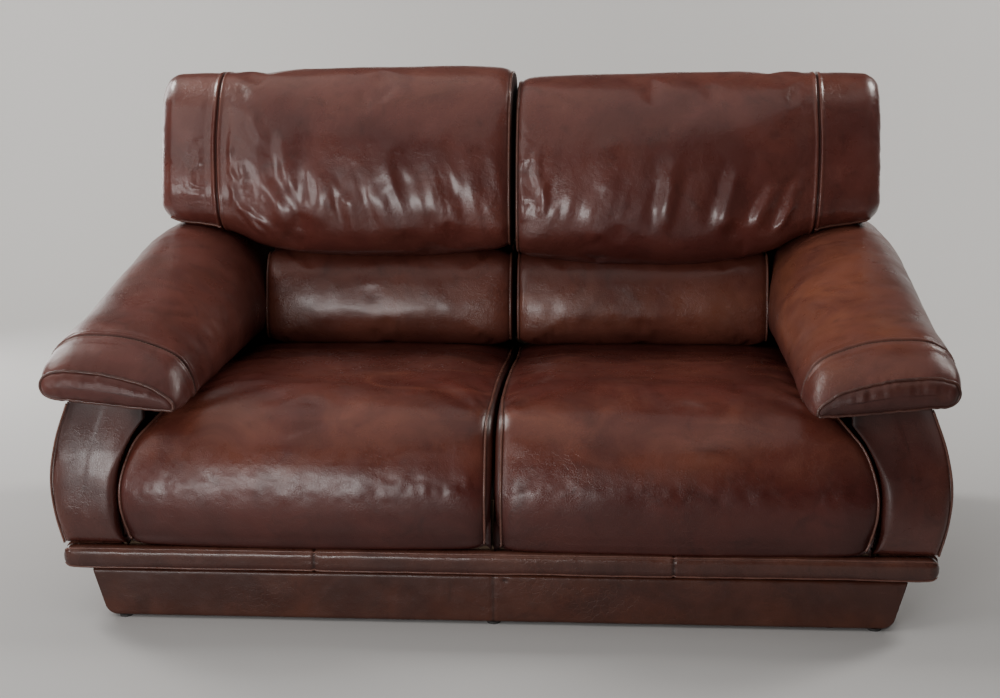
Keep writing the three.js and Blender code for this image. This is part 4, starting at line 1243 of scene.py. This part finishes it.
back_leather = aged_leather(
    "back_leather", (0.06, 0.017, 0.012), (0.1, 0.03, 0.02), (0.2, 0.075, 0.045), gloss=0.36, lumps=0.25
)
low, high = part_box("outside_back")
BACK_EDGE = 0.01
BACK_SEAM = 0.27
from_end = np.array([0.0, 0.001, 0.003, 0.006])
up = np.concatenate([
    low.z + from_end,
    np.linspace(low.z + BACK_EDGE, high.z - BACK_EDGE, 170),
    high.z - from_end[::-1],
])
half_at = [low.z, 0.14, 0.19, 0.262, 0.335, 0.41, 0.5, high.z]
half = eased(up, half_at, [0.796, 0.798, 0.81, 0.815, 0.802, 0.777, 0.774, 0.768])
corner = np.linspace(0, math.pi / 2, 9)
round_corner = BACK_EDGE * np.stack([np.cos(corner), np.sin(corner)], -1)
rows = []
for z, wide in zip(up, half):
    end = min(z - low.z, high.z - z)
    tuck = BACK_EDGE * (1 - math.sqrt(max(0.0, 1 - max(0.0, 1 - end / BACK_EDGE) ** 2)))
    right = (wide - BACK_EDGE, high.y - BACK_EDGE) + round_corner
    shape = np.vstack([
        straight_through([(-wide, low.y), (wide, low.y)], 60),
        straight_through([(wide, low.y), right[0]], 4),
        straight_through(right, 10),
        straight_through([right[-1], right[-1] * (-1, 1)], 330),
        straight_through(right[::-1] * (-1, 1), 10),
        straight_through([right[0] * (-1, 1), (-wide, low.y)], 4),
    ])
    flat = np.maximum(shape[:, 1] - low.y - 0.002, 0) / (high.y - low.y)
    rows.append(np.column_stack([shape[:, 0], shape[:, 1] - tuck * (flat > 0.2), np.full(len(shape), z)]))
rows = np.array(rows)
x, y, z = np.moveaxis(rows, -1, 0)
shown = ramp(y - low.y, high.y - low.y) ** 3
off_seam = np.minimum(np.abs(x - BACK_SEAM), np.abs(x + BACK_SEAM))
puff = 0.0022 * soft_noise(rows, 0.16, 81) + 0.0008 * soft_noise(rows, 0.045, 82)
puff = puff + 0.0008 * soft_noise(rows * (0.35, 1, 1), 0.009, 83) * fading(off_seam, 0.014)
y += (puff - 0.003 * peak(off_seam, 0, 0.0026)) * shown
panel = skin("outside_back_cover", rows, back_leather)
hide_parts("outside_back")
paint(
    panel,
    0.35 * fading(high.z - z, 0.03) + 0.3 * fading(z - low.z, 0.05),
    0.8 * peak(off_seam, 0, 0.003) + 0.3 * fading(z - low.z, 0.03),
    0.12 + 0.5 * fading(off_seam, 0.03),
)

for hand in ("left", "right"):
    low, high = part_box(f"back_end_{hand}")
    section = rounded_slab_loop((low.x, low.y), (high.x, high.y), 0.006, 60)
    rows = prism(section, np.linspace(low.z, high.z, 60), axis=2)
    rows[..., 0] += outward(section)[:, 0] * 0.0008 * soft_noise(rows, 0.04, 85)
    board = skin(f"back_end_{hand}_cover", rows, back_leather)
    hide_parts(f"back_end_{hand}")
    paint(board, 0.15, 0.2, 0.15)

# ---------------------------------------------------------------------------------------------------
# Inside: the timber frame, the sinuous springs, the webbing behind the cushions, the dust cloth under
# the seat and the glides. They keep their exact CAD shapes and only take their materials here.

TIMBERS = ("seat_rail", "corner_block", "back_post", "back_top_rail", "lumbar_rail", "arm_board")
EVEN = (1, 1, 1)
FINISHES = (  # how the nodes' names start, the slot, two colours, scale, stretch, roughness, metal, depth
    # Timber: aged and stained dark, and darker still as painted shade where it shows in the gaps between the
    # covers.
    (TIMBERS, "timber", (0.09, 0.052, 0.028), (0.17, 0.105, 0.06), 14.0, (0.6, 9, 9), 0.75, 0, 0.0004),
    ("seat_spring", "spring_steel", (0.1, 0.1, 0.105), (0.2, 0.19, 0.18), 60.0, EVEN, 0.35, 1.0, 0.0001),
    ("back_strap", "webbing", (0.05, 0.05, 0.055), (0.1, 0.095, 0.09), 220.0, (4, 1, 1), 0.85, 0, 0.0004),
    ("dust_cover", "dust_cloth", (0.012, 0.012, 0.013), (0.03, 0.03, 0.03), 300.0, EVEN, 0.9, 0, 0.0003),
    ("glide", "nylon", (0.02, 0.02, 0.021), (0.045, 0.042, 0.04), 40.0, EVEN, 0.45, 0, 0.0001),
)
for starts, slot, *finish in FINISHES:
    material = plain_finish(slot, *finish)
    for name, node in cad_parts.items():
        if name.startswith(starts):
            node.data.materials.clear()
            node.data.materials.append(material)
